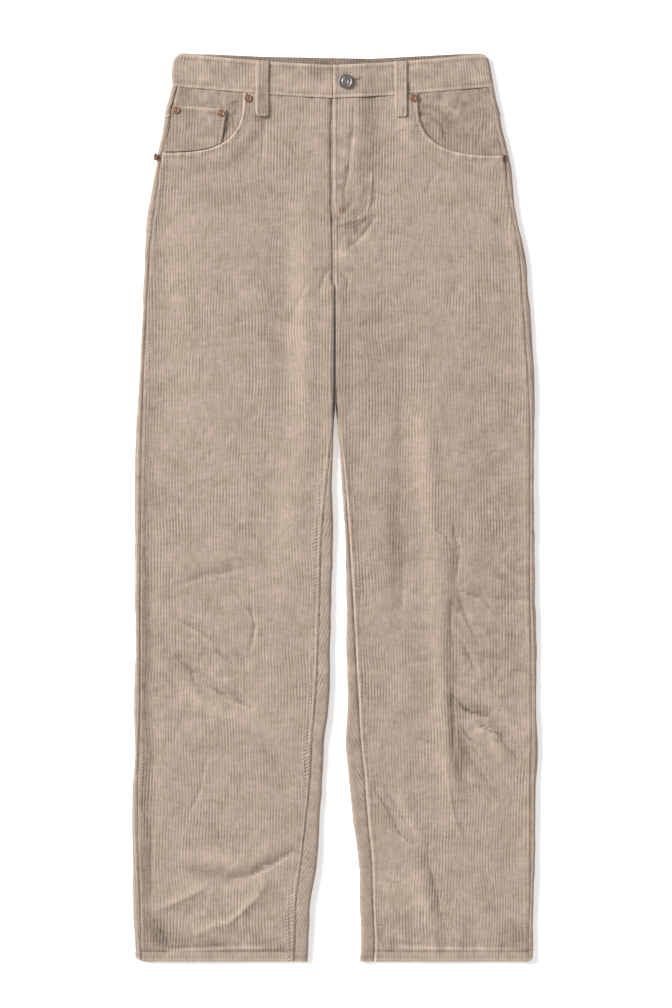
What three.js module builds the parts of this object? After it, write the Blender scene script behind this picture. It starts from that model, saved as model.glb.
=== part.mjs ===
// Corduroy trousers laid flat with their front up. Millimetres.
// X runs across them towards the wearer's left, Y from the hems to the waist, Z up from the surface below.
// A place on the cloth is a level above the hems and a distance from the centre line, on one side:
// side -1 is the wearer's right, side 1 the wearer's left.
import * as THREE from 'three';

// Driving dimensions
const LENGTH = 1062.4;            // hems to the highest point of the waistband
const CLOTH = 1.8;                // one layer of corduroy
const BAND_CLOTH = 2.8;           // waistband, two layers and a stiffener
const HEM_CLOTH = 2.8;            // turned hem, two layers
const PATCH_CLOTH = 1.5;          // coin pocket and back pockets, pressed flat
const LOOP_CLOTH = 1.9;           // belt loop, folded strip
const GAP = 0.3;                  // between pieces at a seam
const LAY_GAP = 0.4;              // between a piece and what it lies on
const LAP_LIFT = 2.8;             // how much a front rises where it lies on another layer
const PAD_MARGIN = 18;            // cloth lifted all round what lies under the back
const ROLL = 4;                   // radius of the cloth where it turns round an edge
const REST = 6.4;                 // outer skin of the front above the surface, away from folds
const BAND_REST = 7.4;            // the same on the waistband
const SIDE_SEAM = 6.5;            // side seam in from the outline, on the front
const HEM_DEPTH = 12;
const BAND_DEPTH = 38.6;
const CROTCH = 785;               // level of the crotch point
const WAIST = 1022;               // level of the waist seam at the side
const CROTCH_EASE = 18;           // length over which the legs' inner edges flatten above it
const FACING_UNDER = 10;          // pocket facing hidden under the front
const FLY_EDGE = -1.8;            // edge of the fly, on the wearer's right of the centre line
const FLY_UNDER = 7;              // how far the right front goes under it
const FLY_WIDTH = 43;             // fly edge line to the J stitching
const FLY_TURN = 12;              // how far across the J stitching reaches at its foot
const FLY_FOOT = 858;             // lowest level of the J stitching
const FLY_OPEN = 868;             // level where the right front starts to go under the left one
const BAND_UNDER = 30;            // how far the waistband's right end goes under its left end
const BAND_LAP_END = 33;          // where the left end of the band starts to come down again
const BAND_LAP_EASE = 24;         // length over which it comes down
const WAIST_HALF = 187;           // half the width of the waist, laid flat
const FRONT_TOP = 1047.2;         // top edge of the waistband at the centre front
const FRONT_DIP = 14;             // how much higher it is at the sides
const FRONT_DIP_POWER = 1.25;
const BACK_TOP = 1052.7;          // top edge of the waistband at the centre back
const BACK_DIP = 9.7;
const BACK_DIP_POWER = 0.9;
const YOKE_CENTRE = 939;          // yoke seam at the centre back
const YOKE_SIDE = 984;            // yoke seam at the side
const LOOP_WIDTH = 16;
const LOOP_LENGTH = 65;
const BUTTON_RADIUS = 8.5;
const RIVET_RADIUS = 4.6;

// How far the rise of the rolled edges and the lift of the laps reach into the cloth
const OUTER_RISE_REACH = 11;
const INNER_RISE_REACH = 9;
const LAP_MARGIN = 3;
const LAP_EASE = 18;
const FLY_EASE = 20;
const FLY_OPEN_EASE = 22;
const WAIST_RISE = { from: 970, to: 1005, rise: 0.5 };

// Outer edges of the trousers, from the centre line
const OUTER_EDGE = [
  { level: 0, right: 231.7, left: 232.8 },
  { level: 25, right: 232.8, left: 232.8 },
  { level: 71, right: 234, left: 234 },
  { level: 141, right: 236.3, left: 235.2 },
  { level: 212, right: 236.3, left: 235.2 },
  { level: 305, right: 234, left: 236.3 },
  { level: 422, right: 234, left: 234 },
  { level: 539, right: 232.8, left: 234 },
  { level: 633, right: 231.7, left: 234 },
  { level: 703, right: 229.3, left: 230.5 },
  { level: 773, right: 225.8, left: 225.8 },
  { level: 832, right: 222.3, left: 221.1 },
  { level: 890, right: 215.3, left: 210.6 },
  { level: 937, right: 209.4, left: 203.6 },
  { level: 972, right: 201.2, left: 195.4 },
  { level: 996, right: 197.7, left: 190.7 },
  { level: 1019, right: 191.9, left: 186 },
  { level: 1050, right: 189.5, left: 182.5 },
  { level: 1063, right: 187, left: 180 },
];

// Inner edges of the legs, and the inseam: cloth from the start of the inner roll, less than 0 when on the roll
const INNER_EDGE = [
  { level: 0, right: 31.6, left: 29.3, rightSeam: 12, leftSeam: 12 },
  { level: 25, right: 30.4, left: 30.4, rightSeam: 12, leftSeam: 12 },
  { level: 71, right: 28.1, left: 29.3, rightSeam: 13, leftSeam: 11 },
  { level: 118, right: 22.2, left: 25.7, rightSeam: 13, leftSeam: 13 },
  { level: 165, right: 17.6, left: 21.1, rightSeam: 12, leftSeam: 13 },
  { level: 212, right: 12.9, left: 17.6, rightSeam: 12, leftSeam: 13 },
  { level: 259, right: 10.5, left: 14, rightSeam: 12, leftSeam: 12 },
  { level: 329, right: 7, left: 12.9, rightSeam: 10, leftSeam: 9 },
  { level: 422, right: 4.7, left: 12.9, rightSeam: 9, leftSeam: 4 },
  { level: 493, right: 3.5, left: 10.5, rightSeam: 8, leftSeam: 2 },
  { level: 563, right: 2.3, left: 8.2, rightSeam: 3, leftSeam: -1 },
  { level: 610, right: 1.2, left: 4.7, rightSeam: -1, leftSeam: -3 },
  { level: 645, right: 0.4, left: 1.8, rightSeam: -3, leftSeam: -4 },
  { level: 703, right: 0.4, left: 0.7, rightSeam: -5, leftSeam: -5.5 },
  { level: CROTCH, right: 0.4, left: 0.4, rightSeam: -ROLL * Math.PI / 2, leftSeam: -ROLL * Math.PI / 2 },
];

// Scooped front pockets: where the opening meets the waistband, and the level where it meets the side seam
const SCOOP = {
  right: { start: 107, foot: 945 },
  left: { start: 96.6, foot: 941.5 },
};
const SCOOP_POWER = 3;

// Largest folds of the front. Path points are x and level, spread is the half width, rise is up or down.
const FOLDS = [
  { of: 'right knee crease', spread: 9, rise: -2,
    path: [[-177, 352], [-150, 323], [-121, 308], [-99, 298]] },
  { of: 'right knee, above', spread: 11, rise: 1.8, path: [[-144, 338], [-111, 317], [-85, 291]] },
  { of: 'right knee, below', spread: 13, rise: 1.2, path: [[-181, 317], [-152, 296], [-117, 284]] },
  { of: 'right thigh crease', spread: 11, rise: -1.2, path: [[-188, 439], [-148, 454], [-99, 461]] },
  { of: 'right thigh, above', spread: 13, rise: 1.3, path: [[-187, 452], [-123, 474]] },
  { of: 'right shin crease', spread: 8, rise: -2.1,
    path: [[-179, 110], [-121, 98], [-99, 101], [-77, 112], [-50, 130]] },
  { of: 'right shin, above', spread: 10, rise: 2,
    path: [[-170, 126], [-118, 115], [-95, 117], [-72, 130]] },
  { of: 'right shin, below', spread: 10, rise: 1.6, path: [[-179, 88], [-120, 80], [-85, 90]] },
  { of: 'right hem ridge', spread: 8, rise: 1.9, path: [[-157, 36], [-121, 47], [-90, 74], [-81, 92]] },
  { of: 'right hem, outer ridge', spread: 9, rise: 1.5, path: [[-208, 60], [-179, 74], [-148, 88]] },
  { of: 'right hem, outer crease', spread: 8, rise: -2, path: [[-215, 56], [-204, 34], [-192, 16]] },
  { of: 'right side trough', spread: 8, rise: -1.7,
    path: [[-216, 523], [-217, 422], [-216, 292], [-213, 154], [-213, 83]] },
  { of: 'left knee crease', spread: 9, rise: -2,
    path: [[123, 530], [145, 510], [147, 492], [142, 456], [140, 376], [141, 301]] },
  { of: 'left knee, beside', spread: 14, rise: 1.7,
    path: [[105, 539], [120, 493], [122, 422], [126, 329]] },
  { of: 'left shin crease', spread: 8, rise: -2.1,
    path: [[141, 303], [159, 290], [181, 285], [199, 270], [212, 243]] },
  { of: 'left shin, below', spread: 8, rise: 2, path: [[164, 277], [187, 259], [202, 236]] },
  { of: 'left shin, above', spread: 9, rise: 1.5, path: [[164, 305], [193, 295], [216, 267]] },
  { of: 'left shin hollow', spread: 9, rise: -2.1, path: [[136, 270], [150, 243], [147, 216]] },
  { of: 'left shin ridge', spread: 10, rise: 1.9, path: [[121, 282], [130, 212], [136, 153]] },
  { of: 'left shin, outer crease', spread: 8, rise: -1.4, path: [[154, 243], [203, 185]] },
  { of: 'left calf crease', spread: 8, rise: -1.6, path: [[56, 203], [76, 150]] },
  { of: 'left calf ridge', spread: 9, rise: 1.3, path: [[71, 206], [94, 153]] },
  { of: 'left hem crease', spread: 8, rise: -2.1, path: [[110, 132], [119, 96], [136, 39]] },
  { of: 'left hem ridge', spread: 10, rise: 1.9, path: [[93, 118], [103, 83], [119, 42]] },
  { of: 'left thigh trough', spread: 13, rise: -1.2, path: [[80, 523], [80, 422]] },
  { of: 'fly pull', spread: 8, rise: -1.3, path: [[20, 838], [47, 865]] },
];

// What lies between the back and the surface
const BACK_POCKET = { centre: 95, width: 138, taper: 7, top: 936, length: 155, point: 20 };
const BACK_LOOPS = [
  { node: 'belt_loop_back_right', x: -118 },
  { node: 'belt_loop_back_centre', x: 0 },
  { node: 'belt_loop_back_left', x: 118 },
];
const FRONT_LOOPS = [
  { node: 'belt_loop_front_right', side: -1, centre: 85 },
  { node: 'belt_loop_front_left', side: 1, centre: 77 },
];

// Levels of the rows of points on the front, closer together where the folds are
const FRONT_LEVELS = [0, 12, 24, 38, 52, 66, 80, 94, 108, 122, 136, 150, 166, 184, 202, 220, 238, 254, 270, 286,
  302, 320, 340, 365, 395, 425, 455, 485, 515, 545, 585, 635, 690, 740, 772, CROTCH, 797, 815, 828,
  840, 852, 865, 890, 917];
const BACK_LEVELS = [0, 12, 38, 66, 94, 122, 150, 184, 220, 254, 286, 320, 365, 425, 485, 545, 585, 635, 690,
  740, 772, CROTCH, 797, 815, 840, 865, 890, 917];

const CORDUROY = 0xb6a597;
const CORDUROY_SHADE = 0xa8978a;
const GREY_METAL = 0x77787a;
const COPPER = 0xa8683f;

// Small numeric helpers
const mix = (a, b, t) => a + (b - a) * t;
const clamp01 = (t) => Math.min(1, Math.max(0, t));
const sideName = (side) => (side < 0 ? 'right' : 'left');

function smoothstep(low, high, value) {
  const t = clamp01((value - low) / (high - low));
  return t * t * (3 - 2 * t);
}

// A column of a table at a level, as a smooth curve through its rows
function tableAt(rows, column, level) {
  const last = rows.length - 1;
  const bounded = Math.min(rows[last].level, Math.max(rows[0].level, level));
  let i = 0;
  while (i < last - 1 && rows[i + 1].level < bounded) i += 1;
  const slope = (a, b) => (rows[b][column] - rows[a][column]) / (rows[b].level - rows[a].level);
  const step = rows[i + 1].level - rows[i].level;
  const slopeIn = slope(Math.max(0, i - 1), i + 1);
  const slopeOut = slope(i, Math.min(last, i + 2));
  const t = (bounded - rows[i].level) / step;
  const rest = 1 - t;
  return rows[i][column] * (1 + 2 * t) * rest * rest + rows[i + 1][column] * t * t * (3 - 2 * t)
    + step * (slopeIn * t * rest * rest - slopeOut * t * t * rest);
}

function distanceToPath(x, y, path) {
  let nearest = Infinity;
  for (let i = 0; i < path.length - 1; i += 1) {
    const [ax, ay] = path[i];
    const [bx, by] = path[i + 1];
    const along = clamp01(((x - ax) * (bx - ax) + (y - ay) * (by - ay)) / ((bx - ax) ** 2 + (by - ay) ** 2));
    nearest = Math.min(nearest, Math.hypot(x - mix(ax, bx, along), y - mix(ay, by, along)));
  }
  return nearest;
}

// Outline of the trousers, and the seams measured from it
const outerEdge = (side, level) => tableAt(OUTER_EDGE, sideName(side), level);
const outerRoll = (side, level) => outerEdge(side, level) - ROLL;
const sideSeam = (side, level) => outerEdge(side, level) - SIDE_SEAM;
const crotchTurn = (level) => 1 - smoothstep(CROTCH, CROTCH + CROTCH_EASE, level);

// Where the inner roll starts. Above the crotch it shrinks until the front and the back end at the centre line.
function innerRoll(side, level) {
  if (level <= CROTCH) return tableAt(INNER_EDGE, sideName(side), level) + ROLL;
  return GAP / 2 + ROLL * Math.sin(crotchTurn(level) * Math.PI / 2);
}

const inseam = (side, level) => tableAt(INNER_EDGE, `${sideName(side)}Seam`, level);

// Edges of the waistband: the front dips in the middle, the back a little less
const sideShare = (across) => Math.abs(across) / WAIST_HALF;
const frontTop = (across) => FRONT_TOP + FRONT_DIP * sideShare(across) ** FRONT_DIP_POWER;
const backTop = (across) => BACK_TOP + BACK_DIP * Math.min(1, sideShare(across)) ** BACK_DIP_POWER;
const frontWaistSeam = (across) => frontTop(across) - BAND_DEPTH;
const backWaistSeam = (across) => backTop(across) - BAND_DEPTH;
const yokeSeam = (across) => mix(YOKE_CENTRE, YOKE_SIDE, sideShare(across));

// Scooped pocket opening at t from 0 at the waistband to 1 at the side seam, a quarter of a squarish ellipse
function scoopPoint(side, t) {
  const { start, foot } = SCOOP[sideName(side)];
  const width = sideSeam(side, foot) - start;
  const depth = frontWaistSeam(start) - foot;
  const turn = t * Math.PI / 2;
  return [
    start + width * (1 - Math.cos(turn) ** (2 / SCOOP_POWER)),
    frontWaistSeam(start) - depth * Math.sin(turn) ** (2 / SCOOP_POWER),
  ];
}

function scoopLevel(side, across) {
  const { start, foot } = SCOOP[sideName(side)];
  const width = sideSeam(side, foot) - start;
  const depth = frontWaistSeam(start) - foot;
  const rest = clamp01(1 - (across - start) / width);
  return frontWaistSeam(start) - depth * (1 - rest ** SCOOP_POWER) ** (1 / SCOOP_POWER);
}

const SCOOP_STEPS = 14;
const scoopPaths = Object.fromEntries([-1, 1].map((side) => [
  sideName(side),
  Array.from({ length: SCOOP_STEPS + 1 }, (_, i) => scoopPoint(side, i / SCOOP_STEPS)),
]));

// Height of the back's underside: the surface itself, or a back pocket or belt loop that it lies on
function padLift(x, level, centre, halfWidth, low, high, rise) {
  const outX = Math.abs(x - centre) - halfWidth - PAD_MARGIN;
  const outLevel = Math.max(low - level, level - high) - PAD_MARGIN;
  return rise * (1 - smoothstep(0, PAD_MARGIN, outX)) * (1 - smoothstep(0, PAD_MARGIN, outLevel));
}

function underLift(x, level) {
  const { centre, width, top, length } = BACK_POCKET;
  let lift = padLift(Math.abs(x), level, centre, width / 2, top - length, top, PATCH_CLOTH + LAY_GAP);
  for (const loop of BACK_LOOPS) {
    const foot = backTop(loop.x) - LOOP_LENGTH;
    lift = Math.max(lift, padLift(x, level, loop.x, LOOP_WIDTH / 2, foot, LENGTH, LOOP_CLOTH + LAY_GAP));
  }
  return lift;
}

// The panels are two layers thick at the hem
const panelThickness = (level) => mix(HEM_CLOTH, CLOTH, smoothstep(HEM_DEPTH, HEM_DEPTH + 1, level));

// A soft hump: 1 in the middle, almost 0 at twice the reach
const hump = (away, reach) => Math.exp(-((away / reach) ** 2));

// Height of the front's outer skin: at rest, raised at its rolled edges, with the folds and what lies under it
function frontHeight(side, across, level) {
  const x = side * across;
  const under = underLift(x, level);
  const edgeRise = 2 * ROLL - REST;
  let height = REST + under / 2 + WAIST_RISE.rise * smoothstep(WAIST_RISE.from, WAIST_RISE.to, level);
  height += edgeRise * hump(outerRoll(side, level) - across, OUTER_RISE_REACH);
  if (level < CROTCH + CROTCH_EASE) {
    height += edgeRise * crotchTurn(level) * hump(across - innerRoll(side, level), INNER_RISE_REACH);
  }
  for (const fold of FOLDS) height += fold.rise * hump(distanceToPath(x, level, fold.path), fold.spread);
  return Math.max(height, under + 2 * panelThickness(level) + LAY_GAP);
}

// The front lies on the pocket facing along the opening, and the left front on the right one at the fly
function pocketLap(side, across, level) {
  const away = distanceToPath(across, level, scoopPaths[sideName(side)]);
  const hidden = FACING_UNDER + LAP_MARGIN;
  return LAP_LIFT * (1 - smoothstep(hidden, hidden + LAP_EASE, away));
}

function flyLap(across, level) {
  const bend = clamp01((FLY_FOOT + FLY_WIDTH - level) / FLY_WIDTH);
  const line = mix(FLY_TURN, FLY_WIDTH, Math.sqrt(1 - bend * bend));
  const past = smoothstep(line - LAP_MARGIN, line + LAP_MARGIN, across);
  return LAP_LIFT * (1 - past) * smoothstep(FLY_FOOT - FLY_EASE, FLY_FOOT, level);
}

const frontSkin = {
  right: (side, across, level) => frontHeight(side, across, level) + pocketLap(side, across, level),
  left: (side, across, level) => frontHeight(side, across, level) + pocketLap(side, across, level)
    + flyLap(across, level),
};

function bandSkin(side, across, level) {
  const rolled = (2 * ROLL - BAND_REST) * hump(outerRoll(side, level) - across, OUTER_RISE_REACH);
  return BAND_REST + rolled + underLift(side * across, level) / 2;
}

// The left end of the waistband lies over the right end at the centre front
function bandLapSkin(side, across, level) {
  const past = smoothstep(BAND_LAP_END, BAND_LAP_END + BAND_LAP_EASE, across);
  const lap = (BAND_CLOTH + LAY_GAP) * (1 - past);
  return bandSkin(side, across, level) + lap;
}

// A point of the flattened tube. along is the cloth measured round it: the same as the distance from the centre
// line on the front, then on round the outer roll, back along the underside and up round the inner roll.
function tubePoint(side, along, level, skin) {
  const outer = outerRoll(side, level);
  const inner = innerRoll(side, level);
  const halfTurn = Math.PI * ROLL;
  const underEnd = outer + halfTurn + outer - inner;
  const onRoll = (centre, direction, turn) => {
    const top = skin(side, centre, level);
    const low = underLift(side * centre, level);
    return [centre + direction * ROLL * Math.sin(turn), (top + low) / 2 + (top - low) / 2 * Math.cos(turn)];
  };
  let across;
  let height;
  if (along < inner && level < CROTCH + CROTCH_EASE) {
    [across, height] = onRoll(inner, -1, (inner - along) / ROLL);
  } else if (along <= outer) {
    across = along;
    height = skin(side, along, level);
  } else if (along <= outer + halfTurn) {
    [across, height] = onRoll(outer, 1, (along - outer) / ROLL);
  } else if (along <= underEnd) {
    across = outer - (along - outer - halfTurn);
    height = underLift(side * across, level);
  } else if (along <= underEnd + halfTurn) {
    [across, height] = onRoll(inner, -1, Math.PI - (along - underEnd) / ROLL);
  } else {
    across = inner + (along - underEnd - halfTurn);
    height = skin(side, across, level);
  }
  return new THREE.Vector3(side * across, level - LENGTH / 2, height);
}

// The outward direction at that point, from its neighbours in the cloth
function tubeNormal(side, along, level, skin) {
  const stepAlong = 0.6;
  const stepLevel = 2;
  const at = (da, dl) => tubePoint(side, along + da, level + dl, skin);
  const acrossCloth = at(stepAlong, 0).sub(at(-stepAlong, 0));
  const upCloth = at(0, stepLevel).sub(at(0, -stepLevel));
  return acrossCloth.cross(upCloth).multiplyScalar(side).normalize();
}

// A wall between two skins, each a list of rows of points, closed by a rim round the edge
function wallGeometry(outer, inner) {
  const rows = outer.length;
  const columns = outer[0].length;
  const positions = [];
  for (const skin of [outer, inner]) {
    for (const row of skin) {
      for (const point of row) positions.push(point.x, point.y, point.z);
    }
  }
  const outerAt = (r, c) => r * columns + c;
  const innerAt = (r, c) => rows * columns + r * columns + c;
  const index = [];
  const quad = (a, b, c, d) => index.push(a, b, c, a, c, d);
  for (let r = 0; r < rows - 1; r += 1) {
    for (let c = 0; c < columns - 1; c += 1) {
      quad(outerAt(r, c), outerAt(r, c + 1), outerAt(r + 1, c + 1), outerAt(r + 1, c));
      quad(innerAt(r, c), innerAt(r + 1, c), innerAt(r + 1, c + 1), innerAt(r, c + 1));
    }
  }
  const rim = (r, c, nextR, nextC) => (
    quad(outerAt(nextR, nextC), outerAt(r, c), innerAt(r, c), innerAt(nextR, nextC)));
  for (let r = 0; r < rows - 1; r += 1) {
    rim(r + 1, 0, r, 0);
    rim(r, columns - 1, r + 1, columns - 1);
  }
  for (let c = 0; c < columns - 1; c += 1) {
    rim(0, c, 0, c + 1);
    rim(rows - 1, c + 1, rows - 1, c);
  }
  const geometry = new THREE.BufferGeometry();
  geometry.setAttribute('position', new THREE.Float32BufferAttribute(positions, 3));
  geometry.setIndex(facesOutward(positions, index) ? index : index.toReversed());
  geometry.computeVertexNormals();
  return geometry;
}

// True when the triangles enclose a positive volume
function facesOutward(positions, index) {
  const a = new THREE.Vector3();
  const b = new THREE.Vector3();
  const c = new THREE.Vector3();
  let volume = 0;
  for (let i = 0; i < index.length; i += 3) {
    a.fromArray(positions, 3 * index[i]);
    b.fromArray(positions, 3 * index[i + 1]);
    c.fromArray(positions, 3 * index[i + 2]);
    volume += a.dot(b.cross(c));
  }
  return volume > 0;
}

// A piece of cloth from rows of places on the tube: its outer skin is there, raised by lift to lie on another
function clothGeometry(rows, skin, thickness, lift = 0) {
  const layer = (depth) => rows.map((row) => row.map(({ side, along, level }) => {
    const wall = typeof thickness === 'function' ? thickness(level) : thickness;
    const normal = tubeNormal(side, along, level, skin);
    return tubePoint(side, along, level, skin).addScaledVector(normal, lift - depth * wall);
  }));
  return wallGeometry(layer(0), layer(1));
}

const trousers = new THREE.Group();

function addPiece(name, geometry, color, roughness = 0.95, metalness = 0) {
  const mesh = new THREE.Mesh(geometry, new THREE.MeshStandardMaterial({ color, roughness, metalness }));
  mesh.name = name;
  trousers.add(mesh);
  return mesh;
}

// Fronts: from the centre or the inseam out to the side seam, cut away at the top by the pocket opening
const EDGE_STEPS = [0, 3, 6.5];
const SIDE_STEPS = [30, 18, 8, 0];
const MIDDLE_COLUMNS = 10;
const WAIST_COLUMNS = 8;

function frontInnerEdge(side, level) {
  if (level < CROTCH) return innerRoll(side, level) + inseam(side, level) + GAP / 2;
  const plain = innerRoll(side, level) - crotchTurn(level) * ROLL * Math.PI / 2;
  const lapped = side < 0 ? -FLY_UNDER : FLY_EDGE;
  return mix(plain, lapped, smoothstep(FLY_OPEN, FLY_OPEN + FLY_OPEN_EASE, level));
}

// How far across each column lies, from 0 at the inner edge to 1 at the side seam
function frontColumns(width) {
  const middle = Array.from({ length: MIDDLE_COLUMNS - 1 }, (_, i) => (
    mix(EDGE_STEPS.at(-1), width - SIDE_STEPS[0], (i + 1) / MIDDLE_COLUMNS)));
  return [...EDGE_STEPS, ...middle, ...SIDE_STEPS.map((step) => width - step)].map((place) => place / width);
}

function frontTopEdge(side, column, columns) {
  if (column > WAIST_COLUMNS) return scoopPoint(side, (column - WAIST_COLUMNS) / (columns - 1 - WAIST_COLUMNS));
  const start = frontInnerEdge(side, frontWaistSeam(0));
  const across = mix(start, SCOOP[sideName(side)].start, column / WAIST_COLUMNS);
  return [across, frontWaistSeam(across) - GAP];
}

function frontRows(side) {
  const { foot } = SCOOP[sideName(side)];
  const columns = EDGE_STEPS.length + MIDDLE_COLUMNS - 1 + SIDE_STEPS.length;
  return [...FRONT_LEVELS, foot].map((rowLevel) => {
    const rise = smoothstep(CROTCH + CROTCH_EASE, foot, rowLevel);
    return Array.from({ length: columns }, (_, column) => {
      const [topAcross, topLevel] = frontTopEdge(side, column, columns);
      const level = rowLevel + (topLevel - foot) * rise;
      const inner = frontInnerEdge(side, level);
      const outer = sideSeam(side, level) - (column === columns - 1 ? GAP / 2 : 0);
      const topShare = (topAcross - frontInnerEdge(side, topLevel))
        / (sideSeam(side, topLevel) - frontInnerEdge(side, topLevel));
      const share = mix(frontColumns(outer - inner)[column], topShare, rise);
      return { side, along: mix(inner, outer, share), level };
    });
  });
}

// Backs: from the side seam round the outer roll and under to the centre back, and on each leg
// round the inner roll to the inseam
const ROLL_STEPS = 5;
const UNDER_STEPS = 6;
const INNER_STEPS = 5;
const INSEAM_STEPS = 2;

function backColumns(side, level) {
  const outer = outerRoll(side, level);
  const inner = innerRoll(side, level);
  const underStart = outer + Math.PI * ROLL;
  const underEnd = underStart + outer - inner;
  const turned = crotchTurn(level) * ROLL * Math.PI / 2;
  const rollEnd = underEnd + (level < CROTCH ? Math.PI * ROLL + Math.min(0, inseam(side, level)) : turned);
  const seamEnd = rollEnd + (level < CROTCH ? Math.max(0, inseam(side, level)) : 0) - GAP / 2;
  const span = (from, to, steps) => Array.from({ length: steps }, (_, i) => mix(from, to, (i + 1) / steps));
  const turning = [
    ...span(underStart, underEnd, UNDER_STEPS),
    ...span(underEnd, rollEnd - GAP / 2, INNER_STEPS),
    ...span(rollEnd - GAP / 2, seamEnd, INSEAM_STEPS),
  ];
  const even = span(underStart, seamEnd, turning.length);
  const share = 1 - smoothstep(CROTCH, CROTCH + 3 * CROTCH_EASE, level);
  return [sideSeam(side, level) + GAP / 2, outer, ...span(outer, underStart, ROLL_STEPS),
    ...turning.map((place, i) => mix(even[i], place, share))];
}

// The distance from the centre line, given the cloth measured round to the underside
const underAcross = (side, along, level) => {
  const outer = outerRoll(side, level);
  return Math.abs(outer - Math.max(0, along - outer - Math.PI * ROLL));
};

function backRows(side) {
  const { foot } = SCOOP[sideName(side)];
  const top = yokeSeam(sideSeam(side, YOKE_SIDE));
  return [...BACK_LEVELS, foot, (foot + top) / 2, top].map((rowLevel) => {
    const rise = smoothstep(CROTCH + CROTCH_EASE, top, rowLevel);
    return backColumns(side, rowLevel).map((_, column) => {
      const across = underAcross(side, backColumns(side, top)[column], top);
      const level = rowLevel + (yokeSeam(across) - GAP - top) * rise;
      return { side, along: backColumns(side, level)[column], level };
    });
  });
}

// Yokes: between the back and the waistband, with the same columns
const YOKE_ROWS = 4;
const underShare = (side, along, level) => clamp01((along - outerRoll(side, level)) / (Math.PI * ROLL));

// The waist seam measured round the tube: the front's level, the back's, and between them on the roll
const waistSeamAt = (side, along, level) => mix(
  frontWaistSeam(Math.min(along, outerRoll(side, level))),
  backWaistSeam(underAcross(side, along, level)),
  underShare(side, along, level),
);

function yokeRows(side) {
  const top = yokeSeam(sideSeam(side, YOKE_SIDE));
  return Array.from({ length: YOKE_ROWS + 1 }, (_, row) => (
    backColumns(side, top).map((topAlong, column) => {
      const low = yokeSeam(underAcross(side, topAlong, top));
      const high = waistSeamAt(side, backColumns(side, WAIST)[column], WAIST) - GAP;
      const level = mix(low, high, row / YOKE_ROWS);
      return { side, along: backColumns(side, level)[column], level };
    })
  ));
}

// Pocket facings: a fan from the edge hidden under the front to the waist seam and the side seam
const FACING_COLUMNS = 10;
const FACING_ROWS = 4;

function facingRows(side) {
  const { start, foot } = SCOOP[sideName(side)];
  const corner = sideSeam(side, WAIST);
  return Array.from({ length: FACING_ROWS + 1 }, (_, row) => (
    Array.from({ length: FACING_COLUMNS + 1 }, (__, column) => {
      const t = column / FACING_COLUMNS;
      const [openAcross, openLevel] = scoopPoint(side, t);
      const hidden = [openAcross - FACING_UNDER * Math.cos(t * Math.PI / 2),
        openLevel - FACING_UNDER * Math.sin(t * Math.PI / 2)];
      const acrossTop = mix(start, corner, Math.min(1, 2 * t));
      const far = t < 0.5
        ? [acrossTop, frontWaistSeam(acrossTop) - GAP]
        : [corner, mix(frontWaistSeam(corner) - GAP, foot, 2 * t - 1)];
      const share = row / FACING_ROWS;
      const plain = mix(hidden[0], far[0], share);
      const level = Math.min(mix(hidden[1], far[1], share), frontWaistSeam(plain) - GAP);
      const sideGap = mix(3 * GAP, GAP, share);
      const along = t < 0.5
        ? Math.min(plain, sideSeam(side, level) - sideGap)
        : mix(mix(hidden[0], sideSeam(side, level), share), sideSeam(side, level), 2 * t - 1) - sideGap;
      return { side, along, level };
    })
  ));
}

// Coin pocket on the wearer's right facing, its foot hidden behind the opening's edge
const COIN_POCKET = {
  side: -1, innerTop: 126.5, innerFoot: 132, innerLevel: 995.5, outerLevel: 1000, clear: 1.2,
};

function coinPocketRows() {
  const { side, innerTop, innerFoot, innerLevel, outerLevel, clear } = COIN_POCKET;
  const columns = 6;
  const rows = 4;
  return Array.from({ length: rows + 1 }, (_, row) => (
    Array.from({ length: columns + 1 }, (__, column) => {
      const t = column / columns;
      const inner = mix(innerFoot, innerTop, row / rows);
      const high = mix(innerLevel, outerLevel, t);
      const foot = scoopLevel(side, mix(inner, sideSeam(side, high) - clear, t)) + clear;
      const level = mix(foot, high, row / rows);
      return { side, along: mix(inner, sideSeam(side, level) - clear, t), level };
    })
  ));
}

// Waistband: one strip from its left end at the centre front, round the back
// to its right end under the left one
const BAND_ROWS = 3;
const BAND_UNDER_STEPS = 7;
const BAND_FRONT_PLACES = [10, 22, 33, 45, 58, 80, 108, 136, 160, 174];

function bandHalf(side, start) {
  const level = WAIST + BAND_DEPTH / 2;
  const outer = outerRoll(side, level);
  const underStart = outer + Math.PI * ROLL;
  const front = [start, ...BAND_FRONT_PLACES, outer];
  const roll = Array.from({ length: ROLL_STEPS }, (_, i) => mix(outer, underStart, (i + 1) / ROLL_STEPS));
  const under = Array.from({ length: BAND_UNDER_STEPS }, (_, i) => (
    mix(underStart, underStart + outer, (i + 1) / BAND_UNDER_STEPS)));
  return [...front, ...roll, ...under].map((along) => ({ side, along, outer }));
}

// A place on the band's middle line moved to another level, where the side edges are nearer or further apart
function bandPlace({ side, along, outer }, level) {
  const outerHere = outerRoll(side, level);
  const halfTurn = Math.PI * ROLL;
  if (along <= outer) return along + (outerHere - outer) * clamp01(along / outer);
  if (along < outer + halfTurn) return along + outerHere - outer;
  return outerHere + halfTurn + outerHere * (along - outer - halfTurn) / outer;
}

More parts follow.
